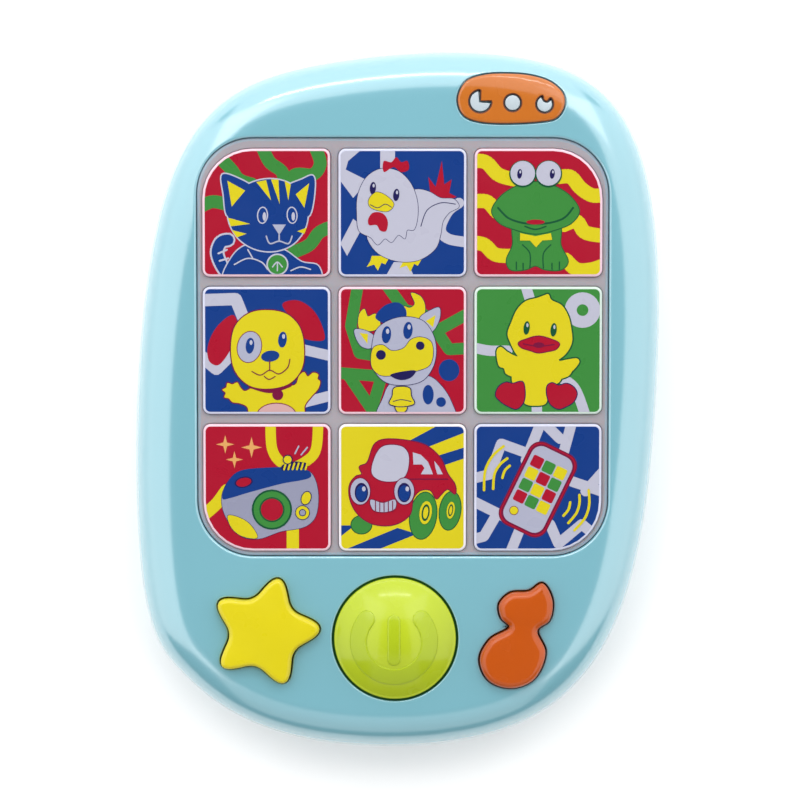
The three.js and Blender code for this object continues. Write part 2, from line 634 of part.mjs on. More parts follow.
/** A contact strip across one end of the bay, with a spring or a bump for each cell it meets. */
function makeContact(end, touches, hasTag) {
  const far = end * (contactMiddleY() + CONTACT.thick / 2);
  const near = end * (contactMiddleY() - CONTACT.thick / 2);
  const tip = end * (CELL.length / 2 + FIT_GAP);
  const xs = touches.map(({ x }) => x);
  const slab = (x0, x1, z0, z1) => box([x0, Math.min(near, far), z0], [x1, Math.max(near, far), z1]);
  const stripLeft = Math.min(...xs) - CONTACT.halfWidth;
  const stripRight = Math.max(...xs) + CONTACT.halfWidth;
  const strip = slab(stripLeft, stripRight, CONTACT.low, CONTACT.high);
  const presses = touches.map(({ x, isSpring }) => {
    const root = isSpring ? CONTACT.spring : CONTACT.springTip;
    const length = Math.abs(near - tip);
    const cone = new THREE.CylinderGeometry(CONTACT.springTip, root, length + CONTACT.thick / 2, 8);
    cone.rotateZ(end > 0 ? Math.PI : 0);
    cone.translate(x, tip + end * (length + CONTACT.thick / 2) / 2, CELL.z);
    return solidOf(cone);
  });
  const tag = slab(xs[0] - TAG.width / 2, xs[0] + TAG.width / 2, CONTACT.low, TAG.top);
  return joinAll(strip, ...presses, ...(hasTag ? [tag] : []));
}

function makeDoor() {
  const gap = FIT_GAP;
  const plate = box(
    [-DOOR.halfX + gap, DOOR.bottom + gap, gap],
    [DOOR.halfX - gap, DOOR.top - gap, gap + DOOR.thick],
  );
  const tabs = [-DOOR_TAB.x, DOOR_TAB.x].map((x) => box(
    [x - DOOR_TAB.width / 2, DOOR.top - 2, DOOR_TAB.low],
    [x + DOOR_TAB.width / 2, DOOR.top + DOOR_TAB.reach, gap + DOOR.thick],
  ));
  const boss = rod(0, DOOR_SCREW.y, gap, DOOR_BOSS.top, DOOR_BOSS.radius);
  return cutAll(joinAll(plate, ...tabs, boss), [
    rod(0, DOOR_SCREW.y, -CUT, DOOR_BOSS.wellTop, DOOR_BOSS.wellRadius),
    rod(0, DOOR_SCREW.y, -CUT, DOOR_BOSS.top + CUT, DOOR_SCREW.shank + SHANK_CLEARANCE),
  ]);
}

/** A screw standing up from its head, with a cross recess in the head's underside. */
function makeScrew(x, y, { head, headBottom, headTop, shank, top }) {
  const body = revolve(x, y, [
    [0, headBottom], [head, headBottom], [head, headTop], [shank, headTop],
    [shank, top - shank], [0, top],
  ], ROD_SIDES);
  const [long, short] = [head * 0.6, head * 0.15];
  const depth = headBottom + (headTop - headBottom) / 2;
  return cutAll(body, [[long, short], [short, long]].map(([dx, dy]) =>
    box([x - dx, y - dy, headBottom - CUT], [x + dx, y + dy, depth])));
}

/** The speaker's three pieces: basket, paper cone and magnet, all facing the back. */
function makeSpeaker() {
  const { x, y, radius, bottom, rim, hub, thick, depth, magnet } = SPEAKER;
  const roof = bottom + depth;
  const basket = revolve(x, y, [
    [0, roof - thick], [hub - 1, roof - thick], [radius - rim, bottom + thick],
    [radius - rim, bottom], [radius, bottom], [radius, bottom + 1.5 * thick], [hub, roof], [0, roof],
  ]);
  const mouth = radius - rim - FIT_GAP - 0.5;
  const coneTop = roof - thick - FIT_GAP;
  const cone = revolve(x, y, [
    [0, coneTop - 0.6], [3.4, coneTop - 0.6], [mouth, bottom + 0.2],
    [mouth, bottom + 0.8], [3.8, coneTop], [0, coneTop],
  ]);
  const magnetBottom = roof + FIT_GAP;
  const disc = rod(x, y, magnetBottom, magnetBottom + magnet.thick, magnet.radius, 16);
  return { basket, cone, magnet: disc };
}

/** An insulated wire along a smooth curve through the given points. */
function makeWire(points) {
  const path = new THREE.CatmullRomCurve3(points.map((p) => new THREE.Vector3(...p)));
  const section = new THREE.Shape();
  section.absarc(0, 0, WIRE_RADIUS, 0, 2 * Math.PI);
  const steps = Math.ceil(path.getLength() / WIRE_STEP);
  return solidOf(new THREE.ExtrudeGeometry(section, {
    extrudePath: path, steps, curveSegments: WIRE_SIDES / 2, bevelEnabled: false,
  }));
}

// ---------------------------------------------------------------------------- assembly

const tablet = new THREE.Group();

/** Adds one named piece to the toy. */
function addPiece(name, solid, color, roughness = 0.35, metalness = 0) {
  const material = new THREE.MeshStandardMaterial({ color, roughness, metalness });
  const mesh = new THREE.Mesh(geometryOf(solid), material);
  mesh.name = name;
  tablet.add(mesh);
}

addPiece('front_shell', makeFrontShell(), COLOURS.blue);
addPiece('rear_shell', makeRearShell(), COLOURS.blue);
addPiece('screen_lattice', makeLattice(), COLOURS.frosted, 0.5);
addPiece('top_trim', makeTrim(), COLOURS.trim, 0.25);

KEY_ROWS.forEach((names, row) => names.forEach((name, column) => {
  addPiece(`key_${name}`, makeKey(row, column), COLOURS.clear, 0.2);
  addPiece(`picture_${name}`, makePicture(row, column), COLOURS.print, 0.4);
}));

addPiece('star_button', makeButton(STAR_OUTLINE, STAR), COLOURS.yellow, 0.3);
addPiece('power_dome', makeDome(), COLOURS.green, 0.15);
addPiece('note_button', makeButton(NOTE_OUTLINE, NOTE_BULB), COLOURS.note, 0.25);

addPiece('main_board', makeBoard(), COLOURS.board, 0.5);
addPiece('key_mat', makeKeyMat(), COLOURS.rubber, 0.8);
addPiece('button_mat', makeButtonMat(), COLOURS.rubber, 0.8);
addPiece('dome_led', makeDomeLed(), COLOURS.led, 0.1);

for (const [name, [x, y]] of Object.entries(CASE_SCREWS)) {
  addPiece(`case_screw_${name}`, makeScrew(x, y, CASE_SCREW), COLOURS.steel, 0.3, 1);
}
for (const [name, [x, y]] of Object.entries(BOARD_SCREWS)) {
  addPiece(`board_screw_${name}`, makeScrew(x, y, BOARD_SCREW), COLOURS.steel, 0.3, 1);
}

addPiece('battery_door', makeDoor(), COLOURS.blue);
addPiece('battery_door_screw', makeScrew(0, DOOR_SCREW.y, DOOR_SCREW), COLOURS.steel, 0.3, 1);

['left', 'middle', 'right'].forEach((name, i) => {
  const nubEnd = i === 1 ? -1 : 1;
  addPiece(`battery_${name}`, makeCell((i - 1) * CELL.pitch, nubEnd), COLOURS.cell, 0.3);
});

const [leftX, rightX] = [-CELL.pitch, CELL.pitch];
const contacts = {
  positive: makeContact(1, [{ x: leftX, isSpring: false }], true),
  bridge_top: makeContact(1, [{ x: 0, isSpring: true }, { x: rightX, isSpring: false }], false),
  bridge_bottom: makeContact(-1, [{ x: leftX, isSpring: true }, { x: 0, isSpring: false }], false),
  negative: makeContact(-1, [{ x: rightX, isSpring: true }], true),
};
for (const [name, solid] of Object.entries(contacts)) {
  addPiece(`contact_${name}`, solid, COLOURS.nickel, 0.3, 1);
}

const speaker = makeSpeaker();
addPiece('speaker_basket', speaker.basket, COLOURS.steel, 0.4, 1);
addPiece('speaker_cone', speaker.cone, COLOURS.paper, 0.9);
addPiece('speaker_magnet', speaker.magnet, COLOURS.black, 0.4, 0.5);

// Each wire runs from a battery tag or a speaker terminal to the underside of the board.
const tagY = contactMiddleY() + CONTACT.thick / 2 + FIT_GAP;
const terminal = { x: SPEAKER.x + SPEAKER.magnet.radius + WIRE_RADIUS + FIT_GAP, z: SPEAKER.bottom + 8 };
const wires = {
  battery_positive: [
    [leftX, tagY, WIRE_Z - 1], [leftX, tagY + 5, WIRE_Z - 0.5],
    [leftX - 5, tagY + 13, WIRE_Z], [leftX - 6, tagY + 16, WIRE_END_Z],
  ],
  battery_negative: [
    [rightX, -tagY, WIRE_Z - 1], [rightX, -tagY - 4, WIRE_Z - 0.5],
    [rightX + 6, -tagY - 8, WIRE_Z], [rightX + 8, -tagY - 8, WIRE_END_Z],
  ],
  speaker_positive: [
    [terminal.x, SPEAKER.y + 3, terminal.z], [terminal.x + 7, SPEAKER.y + 4, terminal.z + 3],
    [terminal.x + 15, SPEAKER.y - 2, WIRE_END_Z],
  ],
  speaker_negative: [
    [terminal.x, SPEAKER.y - 3, terminal.z], [terminal.x + 6, SPEAKER.y - 4, terminal.z + 3],
    [terminal.x + 12, SPEAKER.y - 9, WIRE_END_Z],
  ],
};
for (const [name, points] of Object.entries(wires)) {
  const colour = name.endsWith('positive') ? COLOURS.red : COLOURS.black;
  addPiece(`wire_${name}`, makeWire(points), colour, 0.5);
}

export default tablet;
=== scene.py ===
"""Looks of the kids toy tablet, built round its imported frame.

Shapes are worked out in millimetres in the frame's own axes (+X right, +Y the toy's top, +Z out
of the screen) and become Blender objects in metres.
"""

import math

import bpy
import numpy as np
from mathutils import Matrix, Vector
from mathutils.geometry import delaunay_2d_cdt


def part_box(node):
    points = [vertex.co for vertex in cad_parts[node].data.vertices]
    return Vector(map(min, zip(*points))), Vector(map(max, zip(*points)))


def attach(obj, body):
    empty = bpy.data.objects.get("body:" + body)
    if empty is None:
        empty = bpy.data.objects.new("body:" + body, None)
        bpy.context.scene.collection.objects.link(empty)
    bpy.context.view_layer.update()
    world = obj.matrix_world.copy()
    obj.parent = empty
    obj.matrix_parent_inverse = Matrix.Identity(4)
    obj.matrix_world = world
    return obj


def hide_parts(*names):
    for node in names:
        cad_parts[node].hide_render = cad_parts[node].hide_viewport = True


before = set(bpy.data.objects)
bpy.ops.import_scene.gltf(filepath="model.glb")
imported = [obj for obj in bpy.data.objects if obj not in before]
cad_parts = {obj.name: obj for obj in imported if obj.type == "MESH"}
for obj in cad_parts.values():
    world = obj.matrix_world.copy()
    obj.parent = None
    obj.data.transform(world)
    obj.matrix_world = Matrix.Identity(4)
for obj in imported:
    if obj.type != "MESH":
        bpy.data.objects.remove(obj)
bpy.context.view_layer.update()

MM = 0.001


def box_mm(node):
    """The lowest and highest corners of a CAD node, in millimetres."""
    low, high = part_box(node)
    return np.array(low) / MM, np.array(high) / MM


# ------------------------------------------------------------------ sizes, from the frame

CASE_LOW, CASE_HIGH = box_mm("front_shell")
REAR_LOW, REAR_HIGH = box_mm("rear_shell")
SEAM_Z = (CASE_LOW[2] + REAR_HIGH[2]) / 2
FACE_Z = CASE_HIGH[2]
WALL = 2.2
ROLL_POWER = 2.4
FRONT_ROLL = 13.0
REAR_ROLL = 12.0
FIT_GAP = 0.3
OUTLINE_CONTROL = [
    (75, -2.5), (76, 60), (58, 103), (-24.5, 99.5), (-73.5, 81.5),
    (-77.5, -59.5), (-64.5, -78), (-37, -101), (38, -101.5), (68.5, -64.5),
]

SCREEN = {"left": -56.8, "right": 59.8, "bottom": -43.5, "top": 75.1, "corner": 16.0}
KEY_ROWS = (("cat", "hen", "frog"), ("dog", "cow", "duck"), ("camera", "car", "phone"))
KEYS = [name for row in KEY_ROWS for name in row]
KEY_SIZE = 35.9
KEY_GAP = 0.2
KEY_CORNER = 2.0
KEY_OUTER_CORNER = 14.0
KEY_EDGE = 0.55
CAP_FLUSH = 0.12  # how much of the gap round a cap its soft edge fills
PRINT_INSET = 0.6

STAR = {"x": -37.7, "y": -65.0, "tip": 18.7, "notch": 9.4, "turn": 3, "tip_round": 7.0, "notch_round": 3.0}
DOME = {"x": -0.7, "y": -67.0, "radius": 17.3, "rise": 6.8, "gap": 0.7}
BUTTON_GAP = 0.4
NOTE_CONTROL = [
    (31.8, -63.6), (29.5, -61.1), (28.9, -57.2), (32, -54), (37.4, -53.4), (41.2, -51.2),
    (44, -55.9), (43.2, -61.7), (39.8, -64.6), (42.1, -70.9), (38.8, -78.6), (32.4, -81.1),
    (26, -79), (23.4, -73), (26.2, -67.3),
]
TRIM_CONTROL = [
    (16.9, 86), (19.2, 90.8), (24.2, 92.7), (31, 93.1), (38, 92.5), (43.6, 90.5), (46.8, 87.2),
    (47, 83.8), (44.8, 80.5), (40, 79.4), (23, 79.4), (18.4, 81.4),
]
TRIM_HOLES = ((23.3, 85.2, 3.15), (32.4, 84.8, 2.4), (41.4, 84.4, 2.4))  # x, y and radius
TRIM_BITE = (42.0, 86.2, 1.1)  # the disc that is bitten out of the third hole
TRIM_PROUD = 0.6
TRIM_PEG_PROUD = 0.4
TRIM_POCKET = 1.1

CASE_SCREWS = {
    "top_left": (-36, 82), "top_right": (52, 80), "middle_left": (-64.5, 5),
    "middle_right": (65.5, 5), "bottom_left": (-58, -62), "bottom_right": (55, -62),
}
SCREW_WELL = {"radius": 3.0, "depth": 3.4}
DOOR = {"half_x": 19.0, "top": 30.0, "bottom": -37.0, "thick": 1.6, "recess": 2.2, "corner": 1.6}
DOOR_TAB = {"x": 11.0, "width": 6.0, "low": 0.9, "reach": 2.2, "slot": 3.2}
DOOR_SCREW_Y = -32.0
DOOR_BOSS = {"radius": 4.2, "top": 3.6, "well": 3.0, "well_top": 1.9, "hole": 1.55}
BAY = {"half_x": 17.5, "half_y": 26.5, "roof": 14.4, "wall": 1.6}
SPEAKER = {"x": 0.0, "y": 57.0, "radius": 18.0}
GRILLE = {"slots": 7, "pitch": 4.4, "width": 1.8, "radius": 15.0}
CELL = {"radius": 5.25, "z": 8.1, "nub": 1.2, "nub_radius": 2.0}

# ------------------------------------------------------------------------- flat outlines


def grow(points, distance):
    """A closed counter-clockwise outline moved outwards by distance."""
    along = np.roll(points, -1, 0) - np.roll(points, 1, 0)
    along /= np.maximum(np.linalg.norm(along, axis=1, keepdims=True), 1e-9)
    return points + distance * np.stack([along[:, 1], -along[:, 0]], 1)


def counter_clockwise(points):
    x, y = points.T
    area = np.sum(x * np.roll(y, -1) - y * np.roll(x, -1))
    return points if area > 0 else points[::-1]


def spline_outline(t):
    """The case outline and its outward normals at the parameters t, from 0 to 1."""
    control = np.array(OUTLINE_CONTROL, float)
    count = len(control)
    span = np.floor(t * count).astype(int)
    u = t * count - span
    place = ((1 - u) ** 3, 3 * u**3 - 6 * u**2 + 4, -3 * u**3 + 3 * u**2 + 3 * u + 1, u**3)
    slope = (-((1 - u) ** 2), 3 * u**2 - 4 * u, -3 * u**2 + 2 * u + 1, u**2)
    near = [control[(span + k - 1) % count] for k in range(4)]
    points = sum(w[:, None] * c for w, c in zip(place, near)) / 6
    along = sum(w[:, None] * c for w, c in zip(slope, near))
    along /= np.linalg.norm(along, axis=1, keepdims=True)
    return points, np.stack([along[:, 1], -along[:, 0]], 1)


DENSE_OUTLINE, DENSE_NORMALS = spline_outline(np.arange(1500) / 1500)


def inset_of(points):
    """How far inside the case outline each flat point lies."""
    points = np.asarray(points, float)
    gaps = ((points[:, None, :] - DENSE_OUTLINE[None]) ** 2).sum(2)
    nearest = gaps.argmin(1)
    return -((points - DENSE_OUTLINE[nearest]) * DENSE_NORMALS[nearest]).sum(1)


def between(first, second, start, end, at):
    """The point at a parameter between two points that hold from start to end."""
    share = (at - start) / (end - start)
    return first * (1 - share) + second * share


def smooth_outline(control, steps):
    """A closed centripetal Catmull-Rom curve through given points."""
    knots = np.array(control, float)
    count = len(knots)
    points = []
    for i in range(count):
        p = [knots[(i + k - 1) % count] for k in range(4)]
        t = [0.0]
        for a, b in zip(p, p[1:]):
            t.append(t[-1] + np.linalg.norm(b - a) ** 0.5)
        for s in np.linspace(t[1], t[2], steps, endpoint=False):
            a = [between(p[k], p[k + 1], t[k], t[k + 1], s) for k in range(3)]
            b = [between(a[k], a[k + 1], t[k], t[k + 2], s) for k in range(2)]
            points.append(between(b[0], b[1], t[1], t[2], s))
    return counter_clockwise(np.array(points))


def circle(x, y, radius, steps=64):
    angle = np.arange(steps) * (2 * math.pi / steps)
    return np.stack([x + radius * np.cos(angle), y + radius * np.sin(angle)], 1)


def rounded_rect(left, bottom, right, top, radii, arc_steps=10, side_steps=4):
    """A rectangle with its own radius at the top right, top left, bottom left and bottom right."""
    corners = ((right, top, -1, -1), (left, top, 1, -1), (left, bottom, 1, 1), (right, bottom, -1, 1))
    points = []
    for k, ((x, y, dx, dy), radius) in enumerate(zip(corners, radii)):
        angles = np.linspace(k, k + 1, arc_steps + 1) * (math.pi / 2)
        middle = (x + dx * radius, y + dy * radius)
        arc = middle + radius * np.stack([np.cos(angles), np.sin(angles)], 1)
        points.append(arc)
        next_x, next_y, next_dx, next_dy = corners[(k + 1) % 4]
        reach = radii[(k + 1) % 4]
        start_angle = (k + 1) * math.pi / 2
        start = np.array([
            next_x + next_dx * reach + reach * math.cos(start_angle),
            next_y + next_dy * reach + reach * math.sin(start_angle),
        ])
        steps = np.arange(1, side_steps)[:, None] / side_steps
        points.append(arc[-1] + (start - arc[-1]) * steps)
    return np.concatenate(points)


def screen_outline(more):
    s = SCREEN
    return rounded_rect(
        s["left"] - more, s["bottom"] - more, s["right"] + more, s["top"] + more,
        [s["corner"] + more] * 4, 20, 12,
    )


def key_middle(name):
    """The middle of a key, from its CAD node."""
    low, high = box_mm("key_" + name)
    return (low[:2] + high[:2]) / 2


def key_outline(name, more):
    """One key's outline; a corner key follows the screen's corner."""
    row = next(i for i, names in enumerate(KEY_ROWS) if name in names)
    column = KEY_ROWS[row].index(name)
    outer = [(0, 2), (0, 0), (2, 0), (2, 2)]
    radii = [(KEY_OUTER_CORNER if (row, column) == place else KEY_CORNER) + more for place in outer]
    x, y = key_middle(name)
    half = KEY_SIZE / 2 + more
    return rounded_rect(x - half, y - half, x + half, y + half, radii, 8, 4)


def star_outline(curve_steps=9):
    corners = []
    for k in range(10):
        angle = math.radians(STAR["turn"] + 36 * k)
        radius = STAR["notch"] if k % 2 else STAR["tip"]
        corners.append(np.array([STAR["x"] + radius * math.cos(angle), STAR["y"] + radius * math.sin(angle)]))
    points = []
    for k, at in enumerate(corners):
        reach = STAR["notch_round"] if k % 2 else STAR["tip_round"]
        before, after = corners[k - 1] - at, corners[(k + 1) % 10] - at
        before = at + before * reach / np.linalg.norm(before)
        after = at + after * reach / np.linalg.norm(after)
        for t in np.linspace(0, 1, curve_steps):
            points.append((1 - t) ** 2 * before + 2 * t * (1 - t) * at + t**2 * after)
    return np.array(points)


STAR_OUTLINE = star_outline()
NOTE_OUTLINE = smooth_outline(NOTE_CONTROL, 8)
TRIM_OUTLINE = smooth_outline(TRIM_CONTROL, 10)

# ------------------------------------------------------------------------ mesh building


def inside(points, outline):
    """Which flat points lie inside a closed outline."""
    x, y = points[:, 0, None], points[:, 1, None]
    ax, ay = outline.T
    bx, by = np.roll(outline, -1, 0).T
    spans = (ay > y) != (by > y)
    rise = np.where(by == ay, 1, by - ay)
    crossing = spans & (x < ax + (y - ay) * (bx - ax) / rise)
    return crossing.sum(1) % 2 == 1


def turn_steps(count):
    return [2 * math.pi * k / count for k in range(count)]


def triangulate(loops, merge, extra=()):
    """Delaunay triangles through closed flat loops and extra points.

    Returns the points, the given points that each stands for, the triangles and their middles.
    """
    spots = [Vector(p) for loop in loops for p in loop] + [Vector(p) for p in extra]
    edges = []
    start = 0
    for loop in loops:
        count = len(loop)
        edges += [(start + i, start + (i + 1) % count) for i in range(count)]
        start += count
    points, _, triangles, origins, _, _ = delaunay_2d_cdt(spots, edges, [], 0, merge)
    places = np.array([tuple(point) for point in points])
    return places, origins, triangles, np.array([places[list(t)].mean(0) for t in triangles])


def turns_left(places, triangle):
    (ax, ay), (bx, by), (cx, cy) = (places[i] for i in triangle[:3])
    return (bx - ax) * (cy - ay) > (by - ay) * (cx - ax)


class Build:
    """Points and faces of one piece, in millimetres."""

    def __init__(self):
        self.points = []
        self.faces = []
        self.paint = []
        self.colour = 0

    def loop(self, flat, z):
        """Adds a ring of points and returns their indices."""
        start = len(self.points)
        for (x, y), height in zip(flat, np.broadcast_to(z, len(flat))):
            self.points.append((float(x), float(y), float(height)))
        return list(range(start, len(self.points)))

    def face(self, corners):
        self.faces.append(tuple(corners))
        self.paint.append(self.colour)

    def ring(self, x, y, radius, z, sides):
        """Adds a round ring of points at one height."""
        return self.loop(circle(x, y, radius, sides), z)

    def rounded(self, outline, lip, height, sign):
        """Rings of a rounded edge. The height of the face is a number or a function."""
        rings = []
        for offset, drop in lip:
            flat = grow(outline, sign * offset)
            top = height(flat) if callable(height) else height
            rings.append(self.loop(flat, top - drop))
        return rings

    def mouth(self, outline, edge, height, steps=5):
        """Rings down the rounded edge of a hole, from the face to the wall."""
        return self.rounded(outline, lip_steps(edge, steps), height, 1)

    def crown(self, outline, edge, height, steps=5):
        """Rings up the rounded outer edge of a solid, from the wall to the face."""
        return self.rounded(outline, lip_steps(edge, steps)[::-1], height, -1)

    def bridge(self, first, second):
        """Quads between two rings of equal counts."""
        for i, a in enumerate(first):
            j = (i + 1) % len(first)
            self.face((a, first[j], second[j], second[i]))

    def chain(self, rings):
        for first, second in zip(rings, rings[1:]):
            self.bridge(first, second)

    def solid(self, rings):
        """A closed solid through rings that run from its bottom up."""
        self.chain(rings)
        self.fill(rings[-1])
        self.fill(rings[0], down=True)

    def tube(self, path, radius, sides=8):
        """A round bar along a path that never runs upright, closed at both ends."""
        along = np.gradient(path, axis=0)
        along /= np.linalg.norm(along, axis=1, keepdims=True)
        side = np.cross(along, (0, 0, 1))
        side /= np.linalg.norm(side, axis=1, keepdims=True)
        up = np.cross(side, along)
        rings = []
        for at, s, u in zip(path, side, up):
            spots = [at + radius * (math.cos(a) * s - math.sin(a) * u) for a in turn_steps(sides)]
            rings.append(list(range(len(self.points), len(self.points) + sides)))
            self.points += [tuple(float(c) for c in spot) for spot in spots]
        self.chain(rings)
        self.face(rings[0][::-1])
        self.face(rings[-1])

    def fill(self, outer, holes=(), extra=(), height=None, down=False):
        """Triangles between an outer ring and hole rings, through extra flat points."""
        rings = [outer, *holes]
        known = [i for ring in rings for i in ring]
        flat = [np.array([self.points[i][:2] for i in ring]) for ring in rings]
        if len(extra):
            known += self.loop(extra, height(extra))
        places, origins, triangles, middles = triangulate(flat, 1e-6, extra)
        index = []
        for at, origin in zip(places, origins):
            if origin:
                index.append(known[origin[0]])
            else:
                index += self.loop([at], self.points[outer[0]][2])
        keep = inside(middles, flat[0])
        for hole in flat[1:]:
            keep &= ~inside(middles, hole)
        for triangle, kept in zip(triangles, keep):
            if kept:
                corners = [index[i] for i in triangle]
                self.face(corners if turns_left(places, triangle) != down else corners[::-1])

    def make(self, name, materials, sharp=38, flip=False):
        """Turns the build into a Blender object in metres."""
        mesh = bpy.data.meshes.new(name)
        faces = [f[::-1] for f in self.faces] if flip else self.faces
        mesh.from_pydata([tuple(c * MM for c in p) for p in self.points], [], faces)
        for material in materials:
            mesh.materials.append(material)
        mesh.polygons.foreach_set("material_index", self.paint)
        mesh.validate()
        mesh.shade_smooth()
        mesh.set_sharp_from_angle(angle=math.radians(sharp))
        piece = bpy.data.objects.new(name, mesh)
        bpy.context.scene.collection.objects.link(piece)
        return piece


def lip_steps(radius, steps=5):
    """Offset from the edge and drop of each ring of a rounded lip, from the face to the wall."""
    angles = np.linspace(0, math.pi / 2, steps + 1)
    return [(radius * (1 - math.sin(a)), radius * (1 - math.cos(a))) for a in angles]


def place(piece, body, slot, *nodes):
    """Makes a piece ride on a body and stand for CAD nodes, which it hides. The slot is not used."""
    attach(piece, body)
    if nodes:
        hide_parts(*nodes)
    return piece


# ---------------------------------------------------------------------------- materials


STUDIO_LEVEL = 1.6  # how bright the studio's light makes a white matt face
STUDIO_GLARE = 0.01  # what a glossy face reflects of the studio on top of its own colour


def seen(red, green, blue):
    """The base colour that looks like an sRGB colour, 0 to 255, under the studio's light."""
    channels = []
    for value in (red, green, blue):
        c = value / 255
        level = c / 12.92 if c <= 0.04045 else ((c + 0.055) / 1.055) ** 2.4
        channels.append(max(0.004, (level - STUDIO_GLARE) / STUDIO_LEVEL))
    return (*channels, 1.0)


def shade(colour, amount):
    return (*(min(1.0, c * amount) for c in colour[:3]), 1.0)


def set_inputs(node, **inputs):
    """Sets a node's inputs, named with underscores in place of spaces."""
    for key, value in inputs.items():
        node.inputs[key.replace("_", " ")].default_value = value


class Finish:
    """A procedural material."""

    def __init__(self, name):
        self.material = bpy.data.materials.new(name)
        self.material.use_nodes = True
        self.links = self.material.node_tree.links
        self.shader = self.material.node_tree.nodes["Principled BSDF"]
        self.coordinates = self.node("TexCoord")

    def node(self, kind, **inputs):
        node = self.material.node_tree.nodes.new("ShaderNode" + kind)
        set_inputs(node, **inputs)
        return node

    def noise(self, scale, detail, node, socket):
        """Feeds a noise, in the object's own metres, to a socket of a node."""
        noise = self.node("TexNoise", Scale=scale, Detail=detail, Roughness=0.5)
        self.links.new(self.coordinates.outputs["Object"], noise.inputs["Vector"])
        self.links.new(noise.outputs["Fac"], node.inputs[socket])

    def feed(self, node, output, socket):
        self.links.new(node.outputs[output], self.shader.inputs[socket])

    def surface(self, noises, colours, roughnesses, grain_mm):
        """Colour and gloss that drift between two values each, and a fine bumpy grain."""
        mottle, gloss, grain = noises
        ramp = self.node("ValToRGB")
        for element, position, colour in zip(ramp.color_ramp.elements, NOISE_SPAN, colours):
            element.position = position
            element.color = colour
        self.noise(*mottle, ramp, "Fac")
        self.feed(ramp, "Color", "Base Color")
        spread = self.node("MapRange", From_Min=NOISE_SPAN[0], From_Max=NOISE_SPAN[1])
        set_inputs(spread, To_Min=roughnesses[0], To_Max=roughnesses[1])
        self.noise(*gloss, spread, "Value")
        self.feed(spread, "Result", "Roughness")
        bump = self.node("Bump", Strength=0.1, Distance=grain_mm * MM)
        self.noise(*grain, bump, "Height")
        self.feed(bump, "Normal", "Normal")
        return self.material


NOISE_SPAN = (0.3, 0.7)  # what most of a noise's values lie between
MOULDED_NOISES = ((45, 3), (120, 2), (700, 2))  # scale and detail, for colour, gloss and grain
METAL_NOISES = ((300, 3), (900, 3), (1500, 2))


def moulded(name, colour, roughness=0.3, coat=0.4, mottle=0.03, grain_mm=0.01, scatter=0.0,
            coat_ior=1.5, coat_roughness=0.06, specular=0.5, unevenness=0.04):
    """Moulded plastic: faint mottling, uneven gloss and a fine orange-peel surface."""
    finish = Finish(name)
    set_inputs(finish.shader, Coat_Weight=coat, Coat_Roughness=coat_roughness, Coat_IOR=coat_ior)
    set_inputs(finish.shader, Subsurface_Weight=scatter, Subsurface_Scale=2 * MM)
    set_inputs(finish.shader, Specular_IOR_Level=specular)
    colours = (shade(colour, 1 - mottle), shade(colour, 1 + mottle))
    gloss = (roughness - unevenness, roughness + unevenness)
    return finish.surface(MOULDED_NOISES, colours, gloss, grain_mm)


def metal(name, colour, roughness):
    finish = Finish(name)
    set_inputs(finish.shader, Metallic=1.0)
    gloss = (roughness - 0.06, roughness + 0.08)
    return finish.surface(METAL_NOISES, (shade(colour, 0.85), colour), gloss, 0.01)


COAT_LOSS = 0.81  # how much of its own colour the case's strong coat lets through
BLUE = moulded(
    "blue_plastic", shade(seen(127, 186, 200), 1 / COAT_LOSS), 0.25, 1.0, 0.008, 0.002,
    coat_ior=2.0, coat_roughness=0.16, unevenness=0.01,
)
# The pale blue of the trim's pegs is a painted highlight on the case's own blue plastic.
PEG_HIGHLIGHT_BLUE = moulded("blue_plastic_painted_highlight", seen(208, 222, 230), 0.3, 0.5)
FROSTED = moulded("frosted_plastic", seen(181, 175, 182), 0.5, 0.15, 0.03, scatter=0.3)
# The lattice's edge is painted bluish: painted shade and painted blue light from the case.
FROSTED_SHADED_EDGE = moulded("frosted_plastic_painted_shade_edge", seen(170, 187, 202), 0.5, 0.15, 0.03, scatter=0.3)
# The caps' rims are painted near-white as a painted highlight on their rounded edges, and tinted by their
# picture's ground as painted light passing through the clear cap.
RIM = moulded("clear_rim", seen(255, 250, 255), 0.3, 0.4, 0.02)
PINK_RIM = moulded("clear_rim_over_red", seen(255, 218, 232), 0.3, 0.4, 0.02)
BLUE_RIM = moulded("clear_rim_over_blue", seen(226, 228, 250), 0.3, 0.4, 0.02)
GREEN_RIM = moulded("clear_rim_over_green", seen(226, 245, 234), 0.3, 0.4, 0.02)
RIM_HIGHLIGHTS = {name: PINK_RIM for name in ("cat", "frog", "cow", "camera")}
RIM_HIGHLIGHTS |= {name: BLUE_RIM for name in ("hen", "dog", "phone")}
RIM_HIGHLIGHTS["duck"] = GREEN_RIM
YELLOW = moulded("yellow_plastic", seen(241, 224, 40), 0.3, 0.15, specular=0.25)
LIME_GLOSS = {"roughness": 0.25, "coat": 0.35, "coat_roughness": 0.12, "specular": 0.2}
LIME = moulded("lime_plastic", seen(202, 222, 50), **LIME_GLOSS)
# The power symbol is painted a darker lime: painted shade through its raised plastic.
LIME_SYMBOL_SHADED = moulded("lime_plastic_symbol_painted_shade", seen(190, 212, 44), **LIME_GLOSS)
# The dark green on the dome's brim is painted shade in the gap round the dome.
LIME_SHADE = moulded("lime_plastic_shade", seen(44, 96, 44), 0.5, 0.0, specular=0.1)
ORANGE = moulded("orange_plastic", seen(212, 96, 26), 0.25, 0.3, specular=0.25)
TRIM_ORANGE = moulded("trim_orange_plastic", seen(214, 122, 48), 0.25, 0.6, specular=0.25)
# The brown on the trim's edge and on the rims of its holes is painted shade.
TRIM_SHADE = moulded("trim_shade_plastic", seen(112, 60, 40), 0.4, 0.2, specular=0.2)

# --------------------------------------------------------------------------------- case


def behind_seam(z):
    """How far behind the seam a height above the back lies."""
    return SEAM_Z - z


